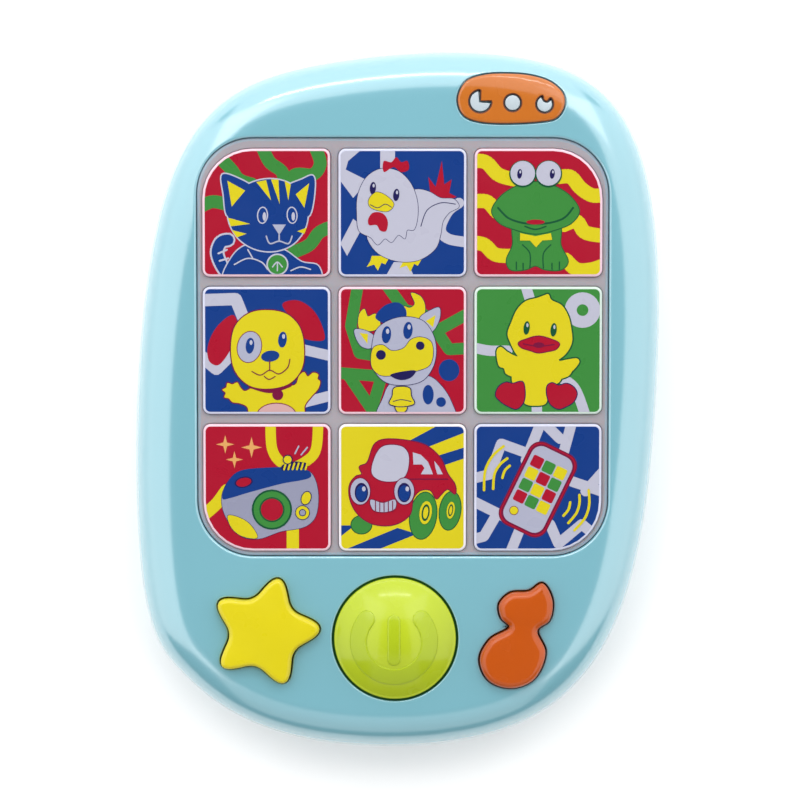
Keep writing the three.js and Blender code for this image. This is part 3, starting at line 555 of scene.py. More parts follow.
class Half:
    """One half of the case. Heights are measured outwards from the seam."""

    def __init__(self, rise, roll, sign):
        self.rise = rise
        self.roll = roll
        self.sign = sign

    def height_at(self, inset, more):
        """The height of the rolled face at an inset from the outline, moved outwards by more."""
        across = np.clip(1 - (inset + more) / (self.roll + more), 0, 1)
        return (self.rise + more) * (1 - across**ROLL_POWER) ** (1 / ROLL_POWER)

    def height(self, points, more=0.0):
        return self.height_at(inset_of(points), more)

    def ring(self, build, inset, more=0.0, height=None):
        """A ring along the outline, on the rolled face unless it is given a height."""
        points, normals = spline_outline(np.arange(RING_STEPS) / RING_STEPS)
        return build.loop(points - normals * inset, self.height_at(inset, more) if height is None else height)


FRONT = Half(FACE_Z - SEAM_Z, FRONT_ROLL, 1)
REAR = Half(SEAM_Z - REAR_LOW[2], REAR_ROLL, -1)
RING_STEPS = 240
EDGE_INSET = 3.2  # the rolled edge is ringed this far in, and triangulated from there
EDGE_RINGS = 14
EDGE_CROWDING = 2.2  # the power by which those rings crowd towards the edge
SEAM_LIP = 0.35  # the rounding of each half at the seam
FACE_STEP = 0.8  # between the loose rings that shape the rest of the roll
SKIN_STEP = 2.0  # the same, on the inner skin
SKIN_RINGS = 6
LIP_MARGIN = 0.35
FACE_CLEARANCE = 0.45  # what the loose points keep from an opening's ring
SKIN_CLEARANCE = 0.8
PEG_LIP = 0.25
WELL_SLACK = 0.05
WELL_FLOOR_SLACK = 0.03


class Opening:
    """A hole or a pocket in a case half.

    A pocket has a floor: a depth below the surface, or one flat level. Pegs stand on it. An
    undercut (outline, level) is where the wall of a hole steps out to a wider outline.
    """

    def __init__(self, outline, lip, depth=None, level=None, pegs=(), undercut=None):
        self.outline = outline
        self.lip = lip
        self.depth = depth
        self.level = level
        self.pegs = pegs
        self.undercut = undercut

    def floor(self, half, points):
        if self.level is not None:
            return np.full(len(points), float(self.level))
        return half.height(points) - self.depth

    def cut(self, build, half, support):
        """Builds the lip, the wall and the floor. Returns the wall's end if there is no floor."""
        chain = [support, *build.mouth(self.outline, self.lip, half.height)]
        if self.undercut:
            wide, level = self.undercut
            chain.append(build.loop(self.outline, level))
            build.chain(chain)
            step = build.loop(wide, level)
            build.fill(step, [chain[-1]], down=True)
            end = build.loop(wide, half.height(wide, -WALL))
            build.bridge(step, end)
            return end
        if self.depth is None and self.level is None:
            chain.append(build.loop(self.outline, half.height(self.outline, -WALL)))
            build.chain(chain)
            return chain[-1]
        chain.append(build.loop(self.outline, self.floor(half, self.outline)))
        build.chain(chain)
        feet = [build.loop(peg, self.floor(half, peg)) for peg in self.pegs]
        build.fill(chain[-1], feet)
        # The pegs are painted pale blue: a painted highlight on their raised tops.
        build.colour = 1
        for peg, foot in zip(self.pegs, feet):
            rings = [foot, *build.crown(peg, PEG_LIP, lambda p: half.height(p, TRIM_PEG_PROUD), 3)]
            build.chain(rings)
            build.fill(rings[-1])
        build.colour = 0
        return None


BOSS = {"front": 3.4, "rear": 4.4, "bore": 1.45, "sides": 20}
BOSS_ROOT = 0.6 * WALL  # how deep in a half's skin its bosses start
BORE_END = 1.5  # what is left between a boss's bore and the well or the skin


def add_boss(build, half, x, y, outer, well=None):
    """A screw boss from a half's skin to the seam: a blind hole up its middle, a well at its head."""
    outside = circle(x, y, outer, BOSS["sides"])
    head = build.loop(outside, half.height(outside, -BOSS_ROOT))
    bottom = float(half.height(outside, -BORE_END * WALL).min())
    if well:
        radius, level = well
        wide = circle(x, y, radius + WELL_SLACK, BOSS["sides"])
        mouth = build.loop(wide, half.height(wide, -BOSS_ROOT))
        seat = build.loop(wide, level - WELL_FLOOR_SLACK)
        build.fill(head, [mouth])
        build.bridge(mouth, seat)
        build.fill(seat)
        bottom = level - BORE_END
    else:
        build.fill(head)
    base = build.loop(outside, FIT_GAP / 2)
    hole, end = (build.ring(x, y, BOSS["bore"], z, BOSS["sides"]) for z in (FIT_GAP / 2, bottom))
    build.bridge(base, head)
    build.fill(base, [hole], down=True)
    build.bridge(end, hole)
    build.fill(end, down=True)


def loose_rings(first, last, step, count, staggered):
    """Rings of loose points inside the case outline, at insets from first to last."""
    rings = []
    for k, inset in enumerate(np.arange(first, last, step)):
        shift = 0.5 * (k % 2) if staggered else 0
        points, normals = spline_outline((np.arange(count) + shift) / count)
        rings.append(points - normals * inset)
    return np.concatenate(rings)


def make_half(name, half, openings, extras):
    """A closed shell: rolled edge, face, rounded openings, walls, pockets and inner skin."""
    build = Build()
    gap = FIT_GAP / 2
    insets = [EDGE_INSET * (k / EDGE_RINGS) ** EDGE_CROWDING for k in range(EDGE_RINGS + 1)]
    low_edge = ((SEAM_LIP, gap), (SEAM_LIP * 0.3, gap + SEAM_LIP * 0.3), (0, gap + SEAM_LIP))
    outer = [half.ring(build, inset, height=height) for inset, height in low_edge]
    outer += [half.ring(build, inset) for inset in insets if inset > 0.02]
    build.chain(outer)

    spots = loose_rings(EDGE_INSET + FACE_STEP, half.roll + 1, FACE_STEP, RING_STEPS - 40, True)
    supports = []
    for opening in openings:
        reach = opening.lip + LIP_MARGIN
        flat = grow(opening.outline, reach)
        supports.append(build.loop(flat, half.height(flat)))
        spots = spots[~inside(spots, grow(opening.outline, reach + FACE_CLEARANCE))]
    build.fill(outer[-1], supports, spots, half.height)
    ends = [opening.cut(build, half, support) for opening, support in zip(openings, supports)]
    holes = [end for end in ends if end]

    insets = [EDGE_INSET - (EDGE_INSET - WALL) * (k / SKIN_RINGS) for k in range(SKIN_RINGS)]
    inner = [half.ring(build, inset, -WALL) for inset in insets]
    inner.append(half.ring(build, WALL, height=gap))
    spots = loose_rings(EDGE_INSET + SKIN_STEP, half.roll + SKIN_STEP, SKIN_STEP, RING_STEPS // 2, False)
    for opening in openings:
        spots = spots[~inside(spots, grow(opening.outline, SKIN_CLEARANCE))]
    build.fill(inner[0], holes, spots, lambda p: half.height(p, -WALL), down=True)
    build.chain(inner)
    build.bridge(inner[-1], outer[0])
    for extra in extras:
        extra(build, half)
    build.points = [(x, y, SEAM_Z + half.sign * z) for x, y, z in build.points]
    return build.make(name, [BLUE, PEG_HIGHLIGHT_BLUE], flip=half.sign < 0)


def trim_hole_outlines(less=0.0):
    """The trim's holes, narrowed by less: three quarters of a disc, a disc, and a bitten disc."""
    (x0, y0, r0), (x1, y1, r1), (x2, y2, r2) = TRIM_HOLES
    corner = np.array([x0 - less, y0 - less])
    first = []
    for p in circle(x0, y0, r0 - less, 64):
        cut_away = p[0] > corner[0] and p[1] > corner[1]
        if not cut_away:
            first.append(p)
    start = next(i for i, p in enumerate(first) if p[0] <= corner[0] and p[1] > y0)
    first.insert(start, corner)
    bite = np.array(TRIM_BITE[:2])
    reach = TRIM_BITE[2] + less
    out = (bite - (x2, y2)) / np.linalg.norm(bite - (x2, y2))
    across = np.array([-out[1], out[0]])
    third = []
    for p in circle(x2, y2, r2 - less, 96):
        side = np.dot(p - bite, across)
        if np.linalg.norm(p - bite) > reach:
            third.append(p)
        else:
            third.append(bite + across * side - out * math.sqrt(reach**2 - side**2))
    third = smooth_outline(np.array(third)[::4], 4)
    return [np.array(first), circle(x1, y1, r1 - less, 40), third]


front_openings = [
    Opening(screen_outline(0), 0.7),
    Opening(grow(STAR_OUTLINE, BUTTON_GAP), 0.4),
    Opening(grow(NOTE_OUTLINE, BUTTON_GAP), 0.4),
    Opening(circle(DOME["x"], DOME["y"], DOME["radius"] + DOME["gap"], 96), 0.4),
    Opening(grow(TRIM_OUTLINE, FIT_GAP), 0.3, depth=TRIM_POCKET, pegs=trim_hole_outlines(FIT_GAP)),
]


def front_bosses(build, half):
    for x, y in CASE_SCREWS.values():
        add_boss(build, half, x, y, BOSS["front"])


place(make_half("front_case", FRONT, front_openings, [front_bosses]), "case", "case_blue", "front_shell")


LEDGE = 2.5  # how far the ledge under the door reaches past it


DOOR_CORNER_STEPS = 6


def door_rect(more, corner):
    """The door's outline, grown by more. It starts with the corner at the right end of its top."""
    return rounded_rect(
        -DOOR["half_x"] - more, DOOR["bottom"] - more, DOOR["half_x"] + more, DOOR["top"] + more,
        [corner] * 4, DOOR_CORNER_STEPS, 1,
    )


def notched(rect, edge, deep):
    """A door_rect outline whose top edge steps to deep at the door's two tabs."""
    half = DOOR_TAB["width"] / 2 + FIT_GAP
    notches = []
    for x in (DOOR_TAB["x"], -DOOR_TAB["x"]):
        notches += [(x + half, edge), (x + half, deep), (x - half, deep), (x - half, edge)]
    corner = DOOR_CORNER_STEPS + 1
    return np.concatenate([rect[:corner], notches, rect[corner:]])


def grille_outlines():
    outlines = []
    for k in range(GRILLE["slots"]):
        rise = (k - (GRILLE["slots"] - 1) / 2) * GRILLE["pitch"]
        reach = math.sqrt(GRILLE["radius"] ** 2 - rise**2)
        half = GRILLE["width"] / 2
        x, y = SPEAKER["x"], SPEAKER["y"] + rise
        outlines.append(rounded_rect(x - reach, y - half, x + reach, y + half, [half - 0.05] * 4, 6, 8))
    return outlines


TRAY = {  # heights above the back, and radii round the hole for the door's screw
    "under": 4.0, "seat": 4.5, "seat_top": 3.9, "bore": 1.9, "bore_top": 9.0, "block": 4.9, "block_top": 10.5,
}
SPEAKER_WALL = {"thick": 1.4, "height": 6.5}


def add_battery_tray(build, half):
    """The ledge under the door, the bay, and the hole that the door's screw goes into."""
    recess, roof, under = (behind_seam(z) for z in (DOOR["recess"], BAY["roof"], TRAY["under"]))
    ledge = notched(door_rect(LEDGE, 2), DOOR["top"] + LEDGE, DOOR["top"] - 1)
    bay = rounded_rect(-BAY["half_x"], -BAY["half_y"], BAY["half_x"], BAY["half_y"], [1.0] * 4, 5, 4)
    wide = grow(bay, BAY["wall"])

    def rounds(radius, *heights):
        return [build.ring(0, DOOR_SCREW_Y, radius, behind_seam(z), 32) for z in heights]

    rim = build.loop(ledge, recess)
    chain = [*build.mouth(bay, 0.4, recess, 3), build.loop(bay, roof)]
    build.chain(chain)
    build.fill(chain[-1])
    seat = rounds(TRAY["seat"], DOOR["recess"], TRAY["seat_top"])
    bore = rounds(TRAY["bore"], TRAY["seat_top"], TRAY["bore_top"])
    build.fill(rim, [chain[0], seat[0]])
    build.bridge(*seat)
    build.fill(seat[1], [bore[0]])
    build.bridge(*bore)
    build.fill(bore[1])
    underside = build.loop(ledge, under)
    skirt = [build.loop(wide, under), build.loop(wide, behind_seam(BAY["roof"] + BAY["wall"]))]
    block = rounds(TRAY["block"], TRAY["under"], TRAY["block_top"])
    build.bridge(underside, rim)
    build.fill(underside, [skirt[0], block[0]], down=True)
    for walls in (skirt, block):
        build.bridge(walls[1], walls[0])
        build.fill(walls[1], down=True)


def add_rear_supports(build, half):
    """The pillars for the case screws and the wall round the speaker."""
    for x, y in CASE_SCREWS.values():
        add_boss(build, half, x, y, BOSS["rear"], (SCREW_WELL["radius"], behind_seam(SCREW_WELL["depth"])))
    x, y = SPEAKER["x"], SPEAKER["y"]
    seat = SPEAKER["radius"] + FIT_GAP
    heights = (SEAM_Z - BOSS_ROOT, behind_seam(SPEAKER_WALL["height"]))
    outside = [build.ring(x, y, seat + SPEAKER_WALL["thick"], z, 64) for z in heights]
    within = [build.ring(x, y, seat, z, 64) for z in heights]
    build.bridge(outside[1], outside[0])
    build.bridge(within[0], within[1])
    build.fill(outside[0], [within[0]])
    build.fill(outside[1], [within[1]], down=True)


well_floor = behind_seam(SCREW_WELL["depth"])
slot_top = behind_seam(DOOR_TAB["low"]) + FIT_GAP
recess = door_rect(0, DOOR["corner"])
notched_recess = notched(recess, DOOR["top"], DOOR["top"] + DOOR_TAB["slot"])
rear_openings = [
    Opening(recess, 0.3, undercut=(notched_recess, slot_top)),
    *[Opening(outline, 0.35) for outline in grille_outlines()],
    *[Opening(circle(*at, SCREW_WELL["radius"], 40), 0.35, level=well_floor) for at in CASE_SCREWS.values()],
]
rear_case = make_half("rear_case", REAR, rear_openings, [add_battery_tray, add_rear_supports])
place(rear_case, "case", "case_blue", "rear_shell")


ARROW = np.array([(0, -26), (4, -20), (-4, -20)], float)
ARROW_DEPTH = 0.5
ARROW_LIP = 0.3


def make_door():
    """The battery door: a plate with a rounded edge, two tabs, and a boss round its screw."""
    build = Build()
    outside, inside_face = -FIT_GAP, -FIT_GAP - DOOR["thick"]
    outline = door_rect(-FIT_GAP, DOOR["corner"] - FIT_GAP)
    rings = [build.loop(outline, inside_face), *build.crown(outline, 0.4, outside)]
    build.chain(rings)

    def rounds(radius, *heights):
        return [build.ring(0, DOOR_SCREW_Y, radius, -z, 40) for z in heights]

    well = build.mouth(circle(0, DOOR_SCREW_Y, DOOR_BOSS["well"], 40), 0.35, outside)
    well += rounds(DOOR_BOSS["well"], DOOR_BOSS["well_top"])
    build.chain(well)
    mark = [build.loop(grow(ARROW, ARROW_LIP), outside), build.loop(ARROW, outside - ARROW_DEPTH)]
    build.fill(rings[-1], [well[0], mark[0]])
    build.bridge(*mark)
    build.fill(mark[1])
    bore = rounds(DOOR_BOSS["hole"], DOOR_BOSS["well_top"], DOOR_BOSS["top"])
    build.fill(well[-1], [bore[0]])
    build.bridge(*bore)
    boss = rounds(DOOR_BOSS["radius"], DOOR_BOSS["top"], -inside_face)
    build.fill(boss[0], [bore[1]], down=True)
    build.bridge(*boss)
    build.fill(rings[0], [boss[1]], down=True)
    half = DOOR_TAB["width"] / 2
    tip = DOOR["top"] + DOOR_TAB["reach"]
    for x in (-DOOR_TAB["x"], DOOR_TAB["x"]):
        tab = rounded_rect(x - half, DOOR["top"] - 2, x + half, tip, [0.6] * 4, 4, 2)
        add_pad(build, tab, inside_face + 0.02, -DOOR_TAB["low"], 0.2)
    build.points = [(x, y, -z) for x, y, z in build.points]
    return build.make("battery_cover", [BLUE], flip=True)


def add_pad(build, outline, low, high, edge, steps=4):
    """A closed solid on an outline, with a rounded top edge."""
    build.solid([build.loop(outline, low), *build.crown(outline, edge, high, steps)])


place(make_door(), "battery_door", "case_blue", "battery_door")


LATTICE_EDGE = 0.85  # the width of the lattice's edge, painted bluish as painted shade under the case's edge and painted blue light that passes through from the case


def make_lattice():
    """The frosted lattice: a plate with a rounded hole for each key."""
    low, high = (corner[2] for corner in box_mm("screen_lattice"))
    build = Build()
    outline = screen_outline(-FIT_GAP / 2)
    rings = [build.loop(outline, low), *build.crown(outline, 0.4, high)]
    rings.append(build.loop(grow(outline, -LATTICE_EDGE), high))
    # The edge ring is painted bluish: painted shade and painted light passing through from the blue case.
    build.colour = 1
    build.chain(rings)
    build.colour = 0
    tops, bottoms = [], []
    for name in KEYS:
        hole = key_outline(name, KEY_GAP)
        chain = [*build.mouth(hole, 0.35, high), build.loop(hole, low)]
        build.chain(chain)
        tops.append(chain[0])
        bottoms.append(chain[-1])
    build.fill(rings[-1], tops)
    build.fill(rings[0], bottoms, down=True)
    return build.make("frosted_lattice", [FROSTED, FROSTED_SHADED_EDGE])


place(make_lattice(), "case", "lattice_frosted", "screen_lattice")


PRINT_ROOM = 0.05  # how much lower a cap's face lies than in the frame, under its print
STAR_EDGE = 1.3
NOTE_EDGE = 2.0


def make_cap(name, node, outline, edge, material, room=0.0):
    """A solid cap on an outline, as tall as its CAD node, with a rounded top edge."""
    low, high = (corner[2] for corner in box_mm(node))
    build = Build()
    add_pad(build, outline, low, high - room, edge, 7)
    return build.make(name, [material])


for key in KEYS:
    node = "key_" + key
    cap = make_cap("cap_" + key, node, key_outline(key, CAP_FLUSH), KEY_EDGE, RIM_HIGHLIGHTS.get(key, RIM), PRINT_ROOM)
    place(cap, node, "key_clear", node)

star = make_cap("star", "star_button", STAR_OUTLINE, STAR_EDGE, YELLOW)
place(star, "star_button", "star_yellow", "star_button")
note = make_cap("note", "note_button", NOTE_OUTLINE, NOTE_EDGE, ORANGE)
place(note, "note_button", "note_orange", "note_button")


SYMBOL = {"x": -1.0, "bar_y": -66.7, "bar": (3.6, 14.4), "arc_y": -67.3, "outer": 12.5, "band": 4.8}
SYMBOL_PROUD = 0.28
SYMBOL_SLOPE = 1.6  # how much wider than tall the symbol's rounded edge is
DOME_SPHERE = (DOME["radius"] ** 2 + DOME["rise"] ** 2) / (2 * DOME["rise"])
DOME_BASE = box_mm("power_dome")[1][2] - DOME["rise"]
DOME_BRIM = 1.0  # how far below the case's face the brim round the dome lies
DOME_BRIM_SLACK = 0.08
DOME_EDGE = 0.5
DOME_SIDES = 144


def dome_height(points, more=0.0):
    """The height of the dome's surface at flat points, raised by more."""
    across = ((np.asarray(points) - (DOME["x"], DOME["y"])) ** 2).sum(1)
    middle = DOME_BASE + DOME["rise"] - DOME_SPHERE
    return middle + np.sqrt((DOME_SPHERE + more) ** 2 - across)


def power_symbol():
    """The outlines of the power symbol's bar and its open ring."""
    x, y = SYMBOL["x"], SYMBOL["bar_y"]
    wide, tall = SYMBOL["bar"]
    bar = rounded_rect(x - wide / 2, y - tall / 2, x + wide / 2, y + tall / 2, [wide / 2 - 0.1] * 4, 8, 6)
    outer, band = SYMBOL["outer"], SYMBOL["band"]
    angles = np.radians(np.linspace(140, 400, 72))
    rim = np.stack([np.cos(angles), np.sin(angles)], 1)
    middle = np.array([x, SYMBOL["arc_y"]])
    turns = np.linspace(0, math.pi, 10)[1:-1]

    def cap(angle, sign):
        """The round end of the arc at an angle."""
        at = middle + (outer - band / 2) * np.array([math.cos(angle), math.sin(angle)])
        return [at + sign * band / 2 * np.array([math.cos(angle + a), math.sin(angle + a)]) for a in turns]

    arc = [*(rim * outer + middle), *cap(angles[-1], 1)]
    arc += [*(rim[::-1] * (outer - band) + middle), *cap(angles[0], -1)]
    return [bar, np.array(arc)]


def make_dome():
    """The domed power button with its raised symbol."""
    build = Build()
    low = box_mm("power_dome")[0][2]

    def rounds(radius, height):
        flat = circle(DOME["x"], DOME["y"], radius, DOME_SIDES)
        return build.loop(flat, height(flat) if callable(height) else height)

    brim_radius = DOME["radius"] + DOME["gap"] - DOME_BRIM_SLACK
    foot, brim_edge = (rounds(brim_radius, z) for z in (low, FACE_Z - DOME_BRIM))
    # The brim is painted dark green: painted shade in the gap round the dome.
    build.colour = 2
    build.bridge(foot, brim_edge)
    rings = [rounds(DOME["radius"], FACE_Z - DOME_BRIM)]
    build.bridge(brim_edge, rings[0])
    build.fill(foot, down=True)
    build.colour = 0
    for offset, drop in reversed(lip_steps(DOME_EDGE)):
        rings.append(rounds(DOME["radius"] - offset, DOME_BASE + DOME_EDGE - drop))
    for radius in np.linspace(DOME["radius"] - 0.9, 0.6, 28):
        rings.append(rounds(radius, dome_height))
    build.chain(rings)
    build.fill(rings[-1])
    # The raised symbol is painted darker lime as painted shade.
    build.colour = 1
    for outline in power_symbol():
        rings = [build.loop(outline, dome_height(outline, -0.5))]
        for offset, drop in reversed(lip_steps(SYMBOL_PROUD, 4)):
            flat = grow(outline, -offset * SYMBOL_SLOPE)
            rings.append(build.loop(flat, dome_height(flat, SYMBOL_PROUD - drop)))
        build.solid(rings)
    return build.make("power_dome_cap", [LIME, LIME_SYMBOL_SHADED, LIME_SHADE], sharp=50)


place(make_dome(), "power_dome", "dome_green", "power_dome")


TRIM_EDGE = 0.8
TRIM_SHADED_RINGS = 4  # how many rings up the trim's edge are painted brown, as painted shade in the gap round the trim
TRIM_HOLE_LIP = 0.35
TRIM_LIFT = 0.3  # how far the trim stands off its pocket's floor
TRIM_GRID = 0.8  # between the loose points that shape its face


def trim_height(points, more=TRIM_PROUD):
    """The height of the trim's face at flat points, over the rolled face of the case."""
    return SEAM_Z + FRONT.height(points, more)


def make_trim():
    """The orange trim, following the rolled face of the case."""
    build = Build()
    floor = TRIM_LIFT - TRIM_POCKET
    rings = [build.loop(TRIM_OUTLINE, trim_height(TRIM_OUTLINE, floor))]
    rings += build.crown(TRIM_OUTLINE, TRIM_EDGE, trim_height)
    # The lower rings of the edge are painted brown: painted shade in the gap round the trim.
    build.colour = 1
    build.chain(rings[:TRIM_SHADED_RINGS])
    build.colour = 0
    build.chain(rings[TRIM_SHADED_RINGS - 1:])
    # The rims of the holes are painted brown too: painted shade in the gaps round the pegs.
    build.colour = 1
    tops, bottoms = [], []
    for hole in trim_hole_outlines():
        chain = build.mouth(hole, TRIM_HOLE_LIP, trim_height, 4)
        chain.append(build.loop(hole, trim_height(hole, floor)))
        build.chain(chain)
        tops.append(chain[0])
        bottoms.append(chain[-1])
    build.colour = 0
    columns, rows = (np.arange(*span, TRIM_GRID) for span in ((17, 48), (78, 93)))
    grid = np.array([(x, y) for x in columns for y in rows])
    grid = grid[inside(grid, grow(TRIM_OUTLINE, -1.2))]
    for hole in trim_hole_outlines():
        grid = grid[~inside(grid, grow(hole, 0.7))]
    build.fill(rings[-1], tops, grid, trim_height)
    build.fill(rings[0], bottoms, down=True)
    return build.make("trim_badge", [TRIM_ORANGE, TRIM_SHADE])


place(make_trim(), "case", "trim_orange", "top_trim")

# ----------------------------------------------------------------------------- hardware

STEEL = metal("zinc_steel", (0.62, 0.63, 0.65, 1), 0.3)
NICKEL = metal("nickel_plate", (0.72, 0.69, 0.63, 1), 0.22)
WRAP = moulded("cell_wrap_grey", seen(92, 98, 112), 0.3, 0.6)
WRAP_BAND = moulded("cell_wrap_band", seen(206, 210, 214), 0.3, 0.6)
PAPER = moulded("cone_paper", seen(52, 52, 58), 0.85, 0.0, 0.12, 0.05)
LAMINATE = moulded("board_laminate", seen(44, 120, 72), 0.4, 0.5, 0.1)
RUBBER = moulded("grey_rubber", seen(208, 208, 204), 0.7, 0.0)
LENS = moulded("lamp_lens", seen(238, 240, 236), 0.15, 0.8)
FERRITE = moulded("ferrite", seen(70, 70, 74), 0.6, 0.1, 0.1, 0.03)
RED_WIRE = moulded("wire_red_skin", seen(190, 40, 36), 0.45, 0.2)
BLACK_WIRE = moulded("wire_black_skin", seen(44, 44, 48), 0.45, 0.2)


def cross_outline(x, y, reach, half):
    """A plus sign, for a screw's recess."""
    points = []
    for turn in turn_steps(4):
        c, s = math.cos(turn), math.sin(turn)
        for a, b in ((reach, -half), (reach, half), (half, half)):
            points.append((x + a * c - b * s, y + a * s + b * c))
    return np.array(points)


SCREW_PITCH = 0.6
SCREW_ROOT = 0.75  # the thread's root over its full radius
SCREW_HEAD = ((0.74, 0), (0.92, 0.14), (1, 0.45))  # share of the head's radius, and height
SCREW_RECESS = {"reach": 0.56, "half": 0.13, "depth": 0.7}


def make_screw(node, head_height, shank):
    """A screw standing on its head, with a cross recess and a threaded shank."""
    low, high = box_mm(node)
    x, y = (low[:2] + high[:2]) / 2
    bottom, top = low[2], high[2]
    head = (high[0] - low[0]) / 2
    root = shank * SCREW_ROOT
    neck = bottom + head_height
    profile = [(head * share, bottom + rise) for share, rise in SCREW_HEAD]
    profile += [(head, neck), (root, neck)]
    for z in np.arange(neck + SCREW_PITCH, top - 2 * SCREW_PITCH, SCREW_PITCH):
        profile += [(root, z), (shank, z + SCREW_PITCH / 2)]
    profile += [(root, top - SCREW_PITCH), (0.15, top)]
    build = Build()
    rings = [build.ring(x, y, radius, z, 28) for radius, z in profile]
    build.chain(rings)
    build.fill(rings[-1])
    cross = cross_outline(x, y, head * SCREW_RECESS["reach"], head * SCREW_RECESS["half"])
    mouth, deep = (build.loop(cross, bottom + depth) for depth in (0, SCREW_RECESS["depth"]))
    build.fill(rings[0], [mouth], down=True)
    build.bridge(deep, mouth)
    build.fill(deep, down=True)
    return build.make(node + "_steel", [STEEL])


for spot in CASE_SCREWS:
    node = "case_screw_" + spot
    place(make_screw(node, 1.7, 1.1), "case", "screw_steel", node)
for spot in ("upper_left", "lower_left", "upper_right", "lower_right"):
    node = "board_screw_" + spot
    place(make_screw(node, 1.5, 1.0), "case", "screw_steel", node)
door_screw = make_screw("battery_door_screw", 1.1, 1.2)
place(door_screw, "battery_door_screw", "screw_steel", "battery_door_screw")


CELL_BAND = 11.0


def make_cell(node, end):
    """A cell lying along Y: steel ends, a wrapped can with a pale band, and its nub at one end."""
    low, high = box_mm(node)
    middle = (low + high) / 2
    half = (high[1] - low[1]) / 2
    can = (high[0] - low[0]) / 2
    shoulder = half - CELL["nub"]
    nub = CELL["nub_radius"]
    profile = [  # paint, radius and place along the cell
        (0, can * 0.8, 0.12 - half), (0, can * 0.84, -half), (0, can * 0.92, 0.1 - half),
        (1, can - 0.05, 0.35 - half), (1, can, 0.7 - half), (1, can, shoulder - CELL_BAND),
        (2, can, shoulder - 0.6), (2, can - 0.25, shoulder - 0.1), (0, can * 0.84, shoulder),
        (0, nub, shoulder), (0, nub, half - 0.25), (0, nub - 0.3, half),
    ]
    build = Build()
    rings = [build.ring(0, 0, radius, along, 40) for _, radius, along in profile]
    for first, second, (paint, _, _) in zip(rings, rings[1:], profile[1:]):
        build.colour = paint
        build.bridge(first, second)
    build.colour = 0
    build.fill(rings[-1])
    build.fill(rings[0], down=True)
    build.points = [(middle[0] + end * a, middle[1] + end * c, middle[2] - b) for a, b, c in build.points]
    return build.make(node + "_can", [STEEL, WRAP, WRAP_BAND], sharp=30)


for side, end in (("left", 1), ("middle", -1), ("right", 1)):
    node = "battery_" + side
    place(make_cell(node, end), "case", "cell_wrap", node)


CONTACT_THICK = 0.5
CONTACT_TOP = 12.4  # where the strip ends and its tag goes on
TAG_HALF = 1.4
SPRING = {"turns": 4, "steps": 96, "wide": 3.2, "narrower": 1.3, "wire": 0.24}
BUMP = ((2.0, 0.0), (1.9, 0.5), (1.5, 0.85), (0.9, 1.0))  # radius, and share of the height


def make_contact(node, end, springs, bumps):
    """A nickel strip with a tapered spring or a raised bump at each cell it meets.

    It is drawn lying flat with the cells above it, then stood up at one end of the bay.
    """
    low, high = box_mm(node)
    reach = (high[1] - low[1]) - CONTACT_THICK
    build = Build()
    middle = (low[0] + high[0]) / 2
    strip_top = min(high[2], CONTACT_TOP)
    wide = (high[0] - low[0]) / 2
    strip = rounded_rect(-wide, low[2], wide, strip_top, [1.2] * 4, 6, 2)
    add_pad(build, strip, 0, CONTACT_THICK, 0.12, 2)
    if high[2] > strip_top:
        at = end * ((springs or bumps)[0] - middle)
        tag = rounded_rect(at - TAG_HALF, strip_top - 1, at + TAG_HALF, high[2], [0.3] * 4, 4, 2)
        add_pad(build, tag, 0.02, CONTACT_THICK - 0.02, 0.1, 2)
    for x in springs:
        turns = np.linspace(0, SPRING["turns"], SPRING["steps"] + 1)
        share = turns / SPRING["turns"]
        radius = SPRING["wide"] - SPRING["narrower"] * share
        angle = turns * 2 * math.pi
        height = CONTACT_THICK + 0.2 + (reach - 0.45) * share
        across = end * (x - middle) + radius * np.cos(angle)
        build.tube(np.stack([across, CELL["z"] + radius * np.sin(angle), height], 1), SPRING["wire"])
    for x in bumps:
        at = end * (x - middle)
        foot = CONTACT_THICK - 0.1
        rings = [build.ring(at, CELL["z"], radius, foot + rise * (reach + 0.1), 24) for radius, rise in BUMP]
        build.solid(rings)
    back = high[1] if end > 0 else low[1]
    build.points = [(middle + end * a, back - end * c, b) for a, b, c in build.points]
    return build.make(node + "_strip", [NICKEL], sharp=30)


CELL_X = [box_mm("battery_" + name)[0][0] + CELL["radius"] for name in ("left", "middle", "right")]
LEFT_CELL, MIDDLE_CELL, RIGHT_CELL = CELL_X
for node, end, springs, bumps in (
    ("contact_positive", 1, [], [LEFT_CELL]),
    ("contact_bridge_top", 1, [MIDDLE_CELL], [RIGHT_CELL]),
    ("contact_bridge_bottom", -1, [LEFT_CELL], [MIDDLE_CELL]),
    ("contact_negative", -1, [RIGHT_CELL], []),
):
    place(make_contact(node, end, springs, bumps), "case", "contact_nickel", node)


CONE = {"cap": 3.5, "surround": 2.5, "rings": 14, "waves": 4.5, "wave": 0.12, "thick": 0.5}


def make_speaker_cone():
    """The paper cone, facing the back: a dust cap, ribbed walls and a rolled surround."""
    low, high = box_mm("speaker_cone")
    bottom, top = low[2], high[2]
    mouth = (high[0] - low[0]) / 2
    front = [(0.3, top - 1.9), (1.8, top - 1.7), (3.3, top - 0.9), (CONE["cap"], top - 0.6)]
    for k in range(1, CONE["rings"] + 1):
        share = k / CONE["rings"]
        ripple = CONE["wave"] * math.sin(share * CONE["waves"] * 2 * math.pi)
        radius = CONE["cap"] + (mouth - CONE["cap"] - CONE["surround"]) * share
        front.append((radius, top - 0.6 - (top - bottom - 1.4) * share + ripple))
    front.append((mouth - 2.3, bottom + 0.75))
    front += [(mouth - 2 + 0.5 * k, bottom + 0.5 - 0.4 * math.sin(math.pi * k / 4)) for k in range(5)]
    back = [(radius, min(z + CONE["thick"], top)) for radius, z in reversed(front)]
    build = Build()
    build.solid([build.ring(SPEAKER["x"], SPEAKER["y"], radius, z, 48) for radius, z in front + back])
    return build.make("paper_cone", [PAPER])


place(make_speaker_cone(), "case", "speaker_paper", "speaker_cone")

